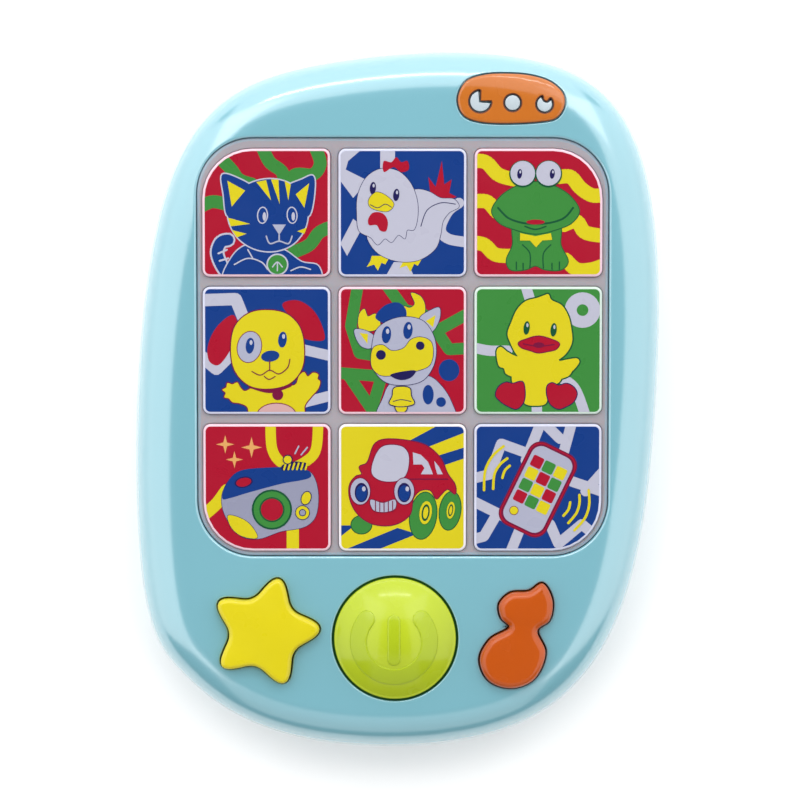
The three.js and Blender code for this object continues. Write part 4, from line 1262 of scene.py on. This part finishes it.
CARRIED = {
    "main_board": LAMINATE, "key_mat": RUBBER, "button_mat": RUBBER, "dome_led": LENS,
    "speaker_basket": STEEL, "speaker_magnet": FERRITE,
    "wire_battery_positive": RED_WIRE, "wire_speaker_positive": RED_WIRE,
    "wire_battery_negative": BLACK_WIRE, "wire_speaker_negative": BLACK_WIRE,
}
for node, material in CARRIED.items():
    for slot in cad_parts[node].material_slots:
        slot.link = "OBJECT"
        slot.material = material

# ----------------------------------------------------------------------------- pictures

PAINTS = {
    "crimson": (182, 0, 56), "blue": (30, 68, 142), "green": (70, 146, 70), "yellow": (230, 214, 44),
    "lilac": (200, 200, 218), "grey": (160, 162, 186), "ink": (44, 40, 92), "plum": (128, 22, 70),
    "pine": (36, 92, 62), "sand": (238, 176, 108), "rose": (222, 178, 178), "frost": (184, 186, 208),
}
PAINT_NAMES = list(PAINTS)
PRINT_LAYER = 0.01  # how much each layer of paint stands over the one before
PRINT_THICK = 0.05
PRINT_SUNK = 0.07  # how far below the top of its key a print starts


def oval(x, y, across, up, turn=0, steps=28):
    angle = np.arange(steps) * (2 * math.pi / steps)
    flat = np.stack([across * np.cos(angle), up * np.sin(angle)], 1)
    c, s = math.cos(math.radians(turn)), math.sin(math.radians(turn))
    return flat @ np.array([[c, s], [-s, c]]) + (x, y)


def path_through(points, steps=6):
    """A smooth open curve through given points."""
    knots = np.array([points[0], *points, points[-1]], float)
    curve = []
    for p0, p1, p2, p3 in zip(knots, knots[1:], knots[2:], knots[3:]):
        for t in np.linspace(0, 1, steps, endpoint=False):
            curve.append(0.5 * (2 * p1 + (p2 - p0) * t + (2 * p0 - 5 * p1 + 4 * p2 - p3) * t**2
                                + (3 * p1 - p0 - 3 * p2 + p3) * t**3))
    return np.array([*curve, knots[-1]])


def ribbon(path, width):
    """Quads and round joints that together cover a path to a width."""
    parts = []
    for a, b in zip(path, path[1:]):
        along = (b - a) / max(np.linalg.norm(b - a), 1e-6)
        side = np.array([along[1], -along[0]]) * width / 2
        parts.append(np.array([a + side, b + side, b - side, a - side]))
    parts += [oval(x, y, width / 2, width / 2, steps=10) for x, y in path]
    return parts


class Picture:
    """A key's printed picture, drawn on a tile that runs from -100 to 100 both ways."""

    def __init__(self, key, ground):
        self.key = key
        self.middle = key_middle(key)
        self.scale = (KEY_SIZE / 2 - PRINT_INSET) / 100
        self.outline = key_outline(key, -PRINT_INSET)
        self.base = box_mm("key_" + key)[1][2] - PRINT_SUNK
        self.top = self.base + PRINT_THICK
        self.build = Build()
        self.layer(ground, [self.outline])

    def shape(self, paint, parts):
        """Adds the union of closed outlines, drawn in the tile's own units, as one thin layer."""
        self.layer(paint, [np.asarray(p, float) * self.scale + self.middle for p in parts], self.outline)

    def layer(self, paint, parts, *clip):
        """Adds the union of closed outlines, in millimetres, clipped to the tile."""
        self.top += PRINT_LAYER
        build = self.build
        build.colour = PAINT_NAMES.index(paint)
        places, _, triangles, middles = triangulate([*parts, *clip], 1e-5)
        keep = np.any([inside(middles, part) for part in parts], axis=0) & inside(middles, self.outline)
        used = {}
        rim = {}
        for triangle in (t for t, kept in zip(triangles, keep) if kept):
            if not turns_left(places, triangle):
                triangle = triangle[::-1]
            for i in triangle:
                if i not in used:
                    used[i] = (build.loop([places[i]], self.top)[0], build.loop([places[i]], self.base)[0])
            build.face([used[i][0] for i in triangle])
            build.face([used[i][1] for i in triangle[::-1]])
            for i, j in zip(triangle, triangle[1:] + triangle[:1]):
                if rim.pop((j, i), None) is None:
                    rim[(i, j)] = True
        for i, j in rim:
            build.face((used[i][1], used[j][1], used[j][0], used[i][0]))

    def oval(self, paint, x, y, across, up=None, turn=0):
        self.shape(paint, [oval(x, y, across, up or across, turn)])

    def ovals(self, paint, *places):
        self.shape(paint, [oval(*p) for p in places])

    def flat(self, paint, *outlines):
        self.shape(paint, [counter_clockwise(np.array(o, float)) for o in outlines])

    def blob(self, paint, *outlines, line=None, width=1.6):
        smooth = [smooth_outline(o, 6) for o in outlines]
        if line:
            self.shape(line, [grow(o, width) for o in smooth])
        self.shape(paint, smooth)

    def line(self, paint, width, *paths):
        self.shape(paint, [part for p in paths for part in ribbon(path_through(p), width)])

    def band(self, paint, width, *paths):
        self.shape(paint, [part for p in paths for part in ribbon(np.array(p, float), width)])

    def eyes(self, *places, paint="ink", across=5, up=10, glint="lilac"):
        self.ovals(paint, *[(x, y, across, up, -6) for x, y in places])
        self.ovals(glint, *[(x + across * 0.25, y + up * 0.4, across * 0.35, up * 0.3) for x, y in places])


def shifted(points, dx, dy=0):
    return [(x + dx, y + dy) for x, y in points]


def draw_cat():
    pic = Picture("cat", "crimson")
    pic.line(
        "green", 21, [(-78, 92), (-58, 72), (-44, 54), (-22, 46)],
        [(-6, 106), (6, 82), (26, 66), (30, 42)], [(30, 44), (48, 62), (76, 62), (88, 80), (80, 106)],
        [(-110, 8), (-88, 18), (-66, 14)], [(108, -22), (86, -32), (70, -52), (44, -64)],
    )
    left_ear = [(-71, 62), (-46, 56), (-18, 36), (-40, 10), (-62, -6), (-69, 30)]
    right_ear = [(76, 60), (58, 54), (32, 40), (50, 10), (68, -6), (78, 30)]
    head = [
        (-62, -4), (-50, 30), (-20, 50), (16, 54), (46, 42), (66, 10), (64, -22), (44, -50), (14, -62),
        (-20, -58), (-48, -38),
    ]
    body = [(-70, -112), (-56, -72), (-36, -54), (0, -50), (32, -62), (58, -80), (84, -86), (88, -112)]
    pic.line("lilac", 24, [(-52, -110), (-70, -90), (-80, -66), (-74, -48), (-62, -44)])
    pic.line("blue", 18, [(-52, -110), (-70, -90), (-80, -66), (-74, -48), (-62, -44)])
    pic.band("lilac", 3, [(-78, -66), (-64, -60)], [(-76, -78), (-62, -74)], [(-68, -92), (-56, -84)])
    pic.blob("blue", body, line="lilac", width=2)
    pic.blob("blue", left_ear, right_ear, head, line="lilac", width=2.2)
    pic.flat("yellow", [(-63, 52), (-34, 36), (-56, 10)], [(70, 48), (48, 30), (62, 8)])
    pic.flat(
        "yellow", [(-16, 50), (0, 53), (8, 20)], [(8, 54), (20, 54), (22, 14)], [(30, 52), (40, 46),
        (36, 20)], [(-62, -8), (-26, -18), (-58, -22)], [(-56, -28), (-32, -34), (-48, -40)], [(66, -24),
        (50, -30), (62, -34)],
    )
    pic.ovals("lilac", (-6, -4, 9, 14, -4), (42, -4, 9, 14, 4))
    pic.ovals("blue", (-6, -4, 7, 12, -4), (42, -4, 7, 12, 4))
    pic.ovals("lilac", (-3, -6, 2.8, 7), (44, -6, 2.8, 7))
    pic.flat("frost", [(10, -19), (32, -19), (21, -36)])
    pic.line("frost", 2.4, [(21, -36), (21, -46)], [(0, -38), (6, -50), (21, -46), (36, -50), (42, -38)])
    pic.line("lilac", 2.2, [(-52, -84), (-30, -74), (-8, -80), (2, -92)], [(-30, -60), (-22, -74)])
    pic.line("lilac", 2.2, [(40, -94), (56, -88), (72, -92)])
    pic.oval("lilac", 18, -84, 18)
    pic.oval("green", 18, -84, 15.5)
    pic.line("lilac", 2, [(10, -88), (18, -80), (26, -88)], [(18, -80), (18, -94)])
    return pic


def draw_hen():
    pic = Picture("hen", "blue")
    pic.flat(
        "lilac", [(-101, 101), (-68, 101), (-88, 84), (-92, 70), (-56, 52), (-80, 24), (-101, 52)],
        [(-36, 101), (-12, 101), (-12, 80), (-36, 64)], [(-80, -10), (-64, -22), (-90, -70), (-101, -50)],
        [(-14, -80), (8, -80), (18, -101), (-26, -101)],
    )
    pic.line("lilac", 17, [(92, 16), (74, 2), (62, -26), (74, -42), (106, -48)])
    foot = [
        (-50, -70), (-34, -70), (-22, -74), (-28, -84), (-34, -81), (-40, -94), (-46, -84), (-58, -88),
        (-52, -78),
    ]
    pic.flat("yellow", foot, shifted(foot, 53, -2))
    body = [
        (-58, -32), (-44, -62), (-12, -78), (26, -77), (54, -58), (62, -36), (66, -14), (76, 0), (92, 10),
        (84, 22), (62, 24), (44, 34), (22, 38), (-20, 20),
    ]
    head = [
        (-70, -30), (-74, 0), (-72, 30), (-58, 58), (-36, 71), (-8, 68), (12, 50), (24, 20), (24, -12),
        (18, -28), (8, -28), (4, -42), (-6, -36), (-18, -48), (-28, -42), (-40, -52), (-52, -40),
    ]
    pic.flat(
        "crimson", [(46, 28), (42, 58), (54, 42), (64, 84), (68, 46), (80, 54), (76, 32), (88, 26),
        (62, 14)],
    )
    pic.blob("lilac", body, line="ink", width=0.9)
    pic.line("ink", 1.4, [(30, -22), (40, 4), (62, 16), (86, 14)])
    pic.blob("lilac", head, line="ink", width=0.9)
    pic.blob(
        "crimson", [(-30, 66), (-30, 84), (-18, 82), (-10, 90), (-2, 82), (8, 84), (10, 70), (-2, 66),
        (-14, 74)],
    )
    pic.blob(
        "yellow", [(-55, 20), (-44, 33), (-30, 30), (-14, 14), (-22, 3), (-40, 4), (-53, 10)], line="ink",
        width=0.9,
    )
    pic.line("ink", 1.4, [(-52, 13), (-40, 8), (-28, 14), (-18, 9)])
    pic.blob(
        "crimson", [(-56, -12), (-48, 0), (-32, -1), (-24, -13), (-27, -30), (-36, -29), (-42, -20),
        (-54, -20)],
    )
    pic.eyes((-48, 40), (-10, 29))
    return pic


def draw_frog():
    pic = Picture("frog", "crimson")
    pic.line(
        "yellow", 23, [(-110, 84), (-86, 82), (-66, 62), (-40, 54)], [(-110, 18), (-84, 18), (-66, 0),
        (-46, -4)], [(-110, -48), (-88, -52), (-70, -68), (-40, -70)], [(32, 58), (52, 58), (68, 40),
        (88, 28), (110, 30)], [(40, -20), (62, -14), (76, -32), (110, -38)], [(44, -76), (62, -92),
        (86, -92), (110, -84)],
    )
    body = [
        (-40, -20), (-42, -52), (-52, -78), (-46, -92), (-20, -92), (-5, -86), (10, -92), (38, -92),
        (48, -80), (36, -52), (34, -20),
    ]
    pic.blob("green", body, line="pine", width=1.4)
    pic.line(
        "pine", 2, [(-26, -52), (-14, -66), (-14, -90)], [(20, -52), (8, -66), (8, -90)], [(-36, -80),
        (-36, -92)],
    )
    pic.line("pine", 2, [(-25, -82), (-25, -92)], [(22, -82), (22, -92)], [(34, -80), (34, -92)])
    head = [
        (-76, 2), (-64, 24), (-38, 42), (-5, 50), (28, 42), (54, 24), (66, 2), (54, -16), (32, -26),
        (-5, -34), (-42, -26), (-64, -16),
    ]
    pic.blob("green", head, line="pine", width=1.4)
    pic.line("pine", 3.2, [(-66, 8), (-50, -8), (-28, -16), (-5, -18), (20, -16), (42, -8), (56, 8)])
    pic.oval("crimson", -5, -15, 15, 4)
    pic.line("pine", 2.4, [(-22, -22), (-5, -27), (12, -22)])
    pic.ovals("pine", (-26, 63, 22, 22), (16, 63, 22, 22))
    pic.ovals("lilac", (-26, 64, 20, 20), (16, 64, 20, 20))
    pic.eyes((-31, 63), (22, 63), across=4, up=8)
    pic.flat(
        "yellow", [(-30, -33), (-5, -38), (20, -33), (22, -44), (6, -45), (-4, -56), (-14, -45),
        (-30, -45)],
    )
    return pic


def draw_dog():
    pic = Picture("dog", "blue")
    pic.band("lilac", 20, [(-110, 82), (-50, 84), (-34, 44)], [(-110, -6), (-82, -30), (-60, -8)])
    pic.band("lilac", 17, [(50, 4), (110, -10)], [(56, -86), (110, -72)])
    pic.blob(
        "crimson", [(-54, 58), (-80, 40), (-96, 6), (-93, -18), (-80, -24), (-62, -4), (-46, 36)],
        [(26, 76), (50, 82), (76, 66), (92, 36), (94, 18), (78, 16), (58, 22), (40, 52)],
    )
    body = [
        (-36, -66), (-18, -58), (30, -58), (36, -52), (42, -57), (48, -54), (53, -41), (61, -35),
        (67, -42), (76, -36), (84, -39), (83, -46), (87, -50), (84, -62), (72, -76), (62, -90),
        (60, -112), (-26, -112), (-32, -92), (-44, -86), (-56, -84), (-62, -78), (-69, -76),
        (-67, -69), (-72, -64), (-66, -60), (-64, -53), (-56, -55), (-48, -52), (-43, -60),
    ]
    pic.blob("yellow", body, line="plum", width=1.8)
    pic.oval("plum", 16, -106, 33, 21)
    pic.oval("rose", 16, -106, 31.5, 19.5)
    pic.line("plum", 7, [(-26, -58), (6, -66), (38, -56)])
    pic.oval("plum", 18, -72, 9)
    head = [
        (-58, 0), (-51, 40), (-28, 61), (3, 66), (34, 59), (54, 38), (61, 4), (57, -30), (38, -53),
        (5, -62), (-28, -57), (-51, -34),
    ]
    pic.blob("yellow", head, line="plum", width=1.8)
    pic.oval("plum", -28, 6, 20.5, 26.5, -12)
    pic.oval("frost", -28, 6, 19.2, 25.2, -12)
    pic.eyes((-27, 8), (26, 18), paint="blue", across=7, up=13)
    pic.oval("blue", 6, -9, 15, 9, 8)
    pic.line(
        "plum", 1.8, [(5, -16), (5, -32)], [(-24, -34), (-10, -40), (5, -32), (20, -38), (34, -28),
        (38, -14)],
    )
    pic.line("plum", 1.6, [(-4, -42), (4, -47), (14, -42)])
    return pic


def draw_cow():
    pic = Picture("cow", "crimson")
    pic.band(
        "green", 19, [(-72, 110), (-84, 40), (-70, -4), (-45, -8)], [(-28, 110), (4, 66), (34, 60)],
        [(110, 62), (56, 32), (76, 2), (110, 4)], [(-110, -36), (-34, -42), (-50, -96), (-88, -40)],
    )
    pic.oval("blue", 76, -32, 17, 18)
    body = [(8, -44), (44, -42), (64, -58), (80, -84), (86, -112), (-42, -112), (-32, -78), (-20, -54)]
    pic.blob("frost", body, line="ink", width=1)
    pic.ovals("blue", (42, -72, 9, 16, 0), (63, -84, 8, 8, 0))
    pic.blob(
        "yellow", [(-70, 36), (-70, 60), (-62, 68), (-56, 56), (-44, 60), (-36, 40), (-50, 32)], [(2, 56),
        (2, 72), (12, 70), (20, 76), (14, 94), (30, 88), (37, 72), (34, 56), (18, 50)], line="ink",
        width=1,
    )
    pic.blob("blue", [(-44, 54), (-28, 74), (-6, 78), (6, 66), (4, 50), (-20, 42)])
    pic.blob(
        "frost", [(-78, 34), (-58, 32), (-44, 20), (-52, 4), (-68, 8)], [(28, 52), (46, 66), (60, 70),
        (60, 50), (46, 30)], line="ink", width=1,
    )
    pic.flat("yellow", [(-70, 29), (-56, 27), (-57, 11)], [(38, 48), (54, 58), (50, 38)])
    head = [
        (-50, 2), (-42, 34), (-20, 50), (8, 55), (34, 48), (50, 26), (55, 0), (50, -26), (34, -48),
        (6, -56), (-26, -52), (-46, -32),
    ]
    pic.blob("frost", head, line="ink", width=1)
    muzzle = [
        (-51, -8), (-46, 6), (-32, 9), (-18, 0), (2, 4), (14, 18), (30, 22), (46, 15), (50, -4),
        (44, -24), (20, -34), (-10, -40), (-36, -40), (-49, -28),
    ]
    pic.blob("yellow", muzzle, line="ink", width=1)
    pic.ovals("ink", (-35, -7, 8, 8), (29, 8, 7, 7))
    pic.blob("ink", [(-20, -40), (0, -34), (22, -33), (14, -44), (-4, -48)])
    pic.eyes((-26, 26), (9, 33), paint="blue", across=7.5, up=14)
    pic.oval("ink", -2, -92, 11)
    pic.oval("yellow", -2, -92, 9.4)
    bell = [(-14, -62), (-2, -59), (12, -62), (14, -74), (19, -86), (8, -90), (-2, -91), (-12, -90),
            (-21, -86), (-16, -74)]
    pic.blob("yellow", bell, line="ink", width=1.6)
    pic.line("ink", 1.4, [(-15, -83), (-2, -80), (14, -83)])
    return pic


def draw_duck():
    pic = Picture("duck", "green")
    pic.oval("lilac", 72, 66, 29)
    pic.oval("green", 72, 66, 9.5)
    pic.line(
        "lilac", 17, [(-22, 110), (-14, 84), (-6, 60)], [(-110, 6), (-80, 0), (-50, 0)],
        [(36, -44), (60, -62), (78, -108)], [(-2, -80), (-2, -108)],
    )
    left_wing = [
        (-24, -10), (-36, -9), (-50, -2), (-61, 6), (-67, 2), (-67, -14), (-63, -26), (-56, -29),
        (-53, -37), (-44, -42), (-30, -46), (-18, -30),
    ]
    right_wing = [
        (20, -16), (34, -17), (50, -14), (64, -13), (67, -18), (61, -28), (56, -33), (50, -41),
        (38, -46), (26, -50), (12, -34),
    ]
    body = [
        (-30, -8), (-42, -36), (-41, -54), (-25, -60), (-22, -86), (-4, -90), (13, -86), (17, -60),
        (34, -52), (38, -44), (30, -10),
    ]
    head = [
        (-46, 14), (-50, 28), (-44, 46), (-34, 68), (-20, 81), (-2, 86), (9, 90), (16, 92), (21, 83),
        (38, 74), (49, 56), (54, 34), (55, 14), (46, -4), (30, -16), (2, -20), (-30, -12),
    ]
    pic.blob("yellow", left_wing, right_wing, body, head, line="pine", width=2.3)
    left_foot = [
        (-26, -51), (-42, -54), (-52, -52), (-64, -59), (-69, -73), (-62, -82), (-50, -90), (-35, -95),
        (-24, -84), (-22, -64),
    ]
    right_foot = [
        (15, -58), (22, -53), (34, -57), (46, -54), (58, -60), (63, -70), (58, -83), (46, -91),
        (33, -95), (21, -88), (15, -74),
    ]
    pic.blob("crimson", left_foot, right_foot, line="ink", width=1.6)
    beak = [
        (-32, 12), (-17, 19), (0, 23), (18, 19), (34, 11), (29, 3), (14, -1), (0, -3), (-14, 1), (-28, 6),
    ]
    pic.blob("crimson", beak, line="plum", width=1.8)
    pic.line("plum", 2, [(-24, 11), (0, 7), (26, 10)])
    pic.oval("plum", 1, 9, 9, 4.5)
    pic.eyes((-19, 37), (25, 34), paint="pine", across=5, up=11)
    return pic


def sparkle(x, y, reach):
    waist = reach * 0.2
    tips = [(reach, 0), (0, reach), (-reach, 0), (0, -reach)]
    waists = [(waist, waist), (-waist, waist), (-waist, -waist), (waist, -waist)]
    return [(x + dx, y + dy) for pair in zip(tips, waists) for dx, dy in pair]


def draw_camera():
    pic = Picture("camera", "crimson")
    pic.line("yellow", 17, [(6, 110), (8, 66), (20, 44), (40, 34), (62, 42), (80, 62), (84, 110)])
    pic.line("yellow", 20, [(-110, -50), (-84, -28), (-66, -4)], [(42, -66), (42, -110)])
    pic.flat("sand", sparkle(-68, 71, 15), sparkle(-25, 66, 17), sparkle(-53, 46, 14))
    pic.line("frost", 2.4, [(46, 56), (52, 68)], [(56, 54), (66, 66)])
    body = [
        (-73, -10), (-62, 12), (-46, 26), (0, 32), (42, 32), (70, 26), (80, 10), (84, -20), (78, -50),
        (62, -64), (22, -72), (-14, -84), (-42, -80), (-62, -58), (-73, -32),
    ]
    pic.blob("grey", body, line="ink", width=0.8)
    pic.blob(
        "blue", [(-73, -11), (-62, 13), (-46, 27), (0, 33), (42, 33), (69, 27), (72, 18), (22, 6),
        (-30, -8), (-60, -17), (-72, -19)],
    )
    pic.oval("ink", -38, 9, 15, 9, 12)
    pic.oval("crimson", -38, 9, 12.5, 7, 12)
    pic.blob(
        "yellow", [(-64, -46), (-48, -48), (-28, -60), (-16, -82), (-40, -80), (-58, -66)], line="ink",
        width=0.8,
    )
    pic.oval("pine", 8, -36, 33)
    pic.oval("green", 8, -36, 30)
    pic.oval("pine", 8, -36, 20.5)
    pic.oval("crimson", 8, -36, 18)
    pic.ovals("ink", (64, -17, 8.5, 12, -20), (58, -41, 12, 12))
    pic.ovals("yellow", (64, -17, 7.2, 10.5, -20), (58, -41, 10.8, 10.8))
    pic.oval("ink", 58, -41, 6)
    pic.oval("grey", 58, -41, 4.6)
    pic.line("ink", 10, [(28, 33), (44, 38), (62, 36)])
    pic.band("yellow", 3, *[[(x, 30), (x + 3, 40)] for x in range(28, 64, 7)])
    pic.oval("ink", 34, 46, 8)
    pic.oval("yellow", 34, 46, 6.4)
    return pic


def draw_car():
    pic = Picture("car", "yellow")
    pic.flat(
        "blue", [(6, 74), (56, 101), (101, 101), (101, 90), (40, 66)], [(50, 50), (101, 66), (101, 48),
        (66, 36)], [(-101, -62), (-78, -62), (-101, -80)], [(-92, -101), (-8, -66), (24, -76),
        (-38, -101)],
    )
    pic.ovals("pine", (-67, -61, 18, 16), (78, -38, 18.5, 33, -8), (34, -46, 23, 40, -8))
    pic.ovals("green", (-67, -61, 16.5, 14.5), (78, -38, 17, 31.5, -8), (34, -46, 21.5, 38.5, -8))
    body = [
        (-46, 70), (-34, 78), (8, 77), (40, 68), (62, 48), (74, 22), (86, 4), (86, -10), (74, -2),
        (62, -12), (56, -18), (46, -4), (30, -4), (18, -16), (12, -44), (-12, -60), (-46, -60),
        (-72, -44), (-85, -20), (-86, 4), (-76, 18), (-66, 22), (-70, 34), (-58, 40),
    ]
    pic.blob("crimson", body, line="plum", width=1.6)
    pic.blob(
        "lilac", [(-50, 24), (-40, 60), (-28, 69), (0, 67), (10, 54), (6, 22), (-6, 12), (-36, 12)],
        line="plum", width=1.4,
    )
    pic.flat("lilac", [(17, 58), (30, 54), (42, 42), (50, 22), (30, 22), (36, 32), (32, 38), (18, 38)])
    pic.flat("lilac", [(52, 44), (60, 34), (66, 22), (57, 22), (54, 32)])
    pic.line("plum", 1.8, [(8, 14), (40, 14), (74, 14)])
    pic.ovals("plum", (-69, -6, 17.5, 23), (3, -6, 17.5, 23))
    pic.ovals("frost", (-69, -6, 16, 21.5), (3, -6, 16, 21.5))
    pic.ovals("ink", (-67, -8, 11, 16), (3, -8, 11, 16))
    pic.ovals("blue", (-67, -9, 9, 13), (3, -9, 9, 13))
    pic.ovals("lilac", (-63, -2, 3, 4), (8, -2, 3, 4))
    pic.blob(
        "frost", [(-52, -20), (-32, -25), (-12, -20), (-12, -34), (-30, -40), (-48, -36)], line="plum",
        width=1.2,
    )
    pic.band("plum", 1.6, *[[(x, -22), (x, -39)] for x in (-44, -37, -30, -23, -16)])
    pic.ovals("yellow", (38, -41, 10, 19, -8), (79, -37, 6.5, 14, -8))
    pic.ovals("pine", (38, -41, 6.5, 14, -8), (79, -37, 4, 10, -8))
    pic.ovals("yellow", (38, -41, 4, 10, -8), (79, -37, 2.4, 7, -8))
    return pic


def draw_phone():
    pic = Picture("phone", "blue")
    pic.band(
        "lilac", 17, [(-110, 14), (-78, 22), (-60, 72), (-16, 56)], [(-110, -20), (-66, -42), (-88, -80),
        (-110, -86)], [(-20, 44), (6, 110), (36, 80)], [(56, 110), (40, 50)], [(56, 10), (110, -8)],
        [(78, -6), (110, 30)], [(-46, -110), (-26, -60)], [(-66, -42), (-30, -60)], [(20, -60), (34, -92),
        (72, -60), (110, -92)],
    )
    turn = -26
    c, s = math.cos(math.radians(turn)), math.sin(math.radians(turn))
    spin = np.array([[c, s], [-s, c]])

    def panel(x, y, across, up, radius):
        corners = rounded_rect(x - across, y - up, x + across, y + up, [radius] * 4, 6, 2)
        return corners @ spin + (0, -3)

    pic.shape("plum", [panel(0, 0, 43, 75, 22)])
    pic.shape("crimson", [panel(0, 0, 41, 73, 20)])
    pic.shape("plum", [panel(0, 0, 39, 71, 19)])
    pic.shape("frost", [panel(0, 0, 36, 68, 17)])
    paints = ("crimson", "green", "yellow")
    for k, paint in enumerate(paints):
        squares = [(column, row) for row in range(4) for column in range(3) if (column - row) % 3 == k]
        pic.shape(paint, [panel(-21 + 21 * x, 40 - 21 * y, 9.5, 9.5, 3) for x, y in squares])
    pic.shape("plum", [panel(-20, -48, 7.5, 7.5, 7.4)])
    pic.shape("yellow", [panel(-20, -48, 6.5, 6.5, 6.4)])
    pic.line(
        "yellow", 4.2, [(-88, -4), (-86, 28), (-74, 52), (-56, 68)], [(-73, -2), (-71, 22), (-62, 38),
        (-50, 48)], [(-58, 16), (-54, 28), (-46, 36)], [(60, -70), (77, -50), (84, -28), (83, -4)],
        [(50, -58), (63, -42), (68, -26), (68, -12)], [(42, -46), (50, -36), (53, -24)],
    )
    return pic


PRINT_GLOSS = {"roughness": 0.3, "coat": 0.25, "mottle": 0.015, "grain_mm": 0.002, "specular": 0.2}
PRINTS = [moulded("print_" + name, seen(*PAINTS[name]), **PRINT_GLOSS) for name in PAINT_NAMES]
for draw in (draw_cat, draw_hen, draw_frog, draw_dog, draw_cow, draw_duck, draw_camera, draw_car, draw_phone):
    picture = draw()
    print_piece = picture.build.make("print_" + picture.key, PRINTS, sharp=20)
    place(print_piece, "key_" + picture.key, "picture_print", "picture_" + picture.key)

# -------------------------------------------------------------------- stage and camera


def make_floor():
    build = Build()
    ring = build.loop(circle(0, 0, 6000, 48), -0.02)
    build.fill(ring)
    finish = Finish("pale_floor")
    set_inputs(finish.shader, Base_Color=(0.95, 0.95, 0.95, 1), Roughness=0.8)
    return build.make("floor", [finish.material])


make_floor()


LIGHT_DISTANCE = 1.2


def softbox(name, azimuth, lean, size, radiance, distance=LIGHT_DISTANCE):
    """A light panel: azimuth from +X and lean from upright, in degrees; size across and along."""
    turn, tip = math.radians(azimuth), math.radians(lean)
    towards = Vector((math.sin(tip) * math.cos(turn), math.sin(tip) * math.sin(turn), math.cos(tip)))
    light = bpy.data.lights.new(name, "AREA")
    light.shape = "RECTANGLE"
    light.size, light.size_y = size
    light.energy = radiance * math.pi * size[0] * size[1]
    lamp = bpy.data.objects.new(name, light)
    lamp.location = towards * distance
    lamp.rotation_mode = "QUATERNION"
    lamp.rotation_quaternion = (-towards).to_track_quat("-Z", "Y")
    bpy.context.scene.collection.objects.link(lamp)


PANEL = (2.0, 1.7)
softbox("softbox_left", 172, 54, PANEL, 1.75)
softbox("softbox_right", 8, 54, PANEL, 1.6)
softbox("softbox_top", 90, 54, PANEL, 1.8)
softbox("softbox_bottom", 270, 50, (1.2, 1.0), 0.7)
softbox("strip_top", 90, 52, (0.8, 0.05), 16, 1.1)

world = bpy.data.worlds.new("studio")
world.use_nodes = True
world.node_tree.nodes["Background"].inputs["Color"].default_value = (1, 1, 1, 1)
world.node_tree.nodes["Background"].inputs["Strength"].default_value = 0.1
bpy.context.scene.world = world
bpy.context.scene.view_settings.view_transform = "Standard"

CAMERA_TILT = math.radians(3.7)
CAMERA_DISTANCE = 0.9
FRAME_HEIGHT = 0.2304  # what the square frame spans at the seam
CAMERA_X = 0.00072
camera_data = bpy.data.cameras.new("camera")
camera_data.lens = camera_data.sensor_width / FRAME_HEIGHT * CAMERA_DISTANCE
camera = bpy.data.objects.new("camera", camera_data)
bpy.context.scene.collection.objects.link(camera)
target = Vector((CAMERA_X, 0, SEAM_Z * MM))
back = Vector((0, math.sin(CAMERA_TILT), math.cos(CAMERA_TILT)))
camera.location = target + back * CAMERA_DISTANCE
camera.rotation_mode = "XYZ"
camera.rotation_euler = (-CAMERA_TILT, 0, 0)
bpy.context.scene.camera = camera
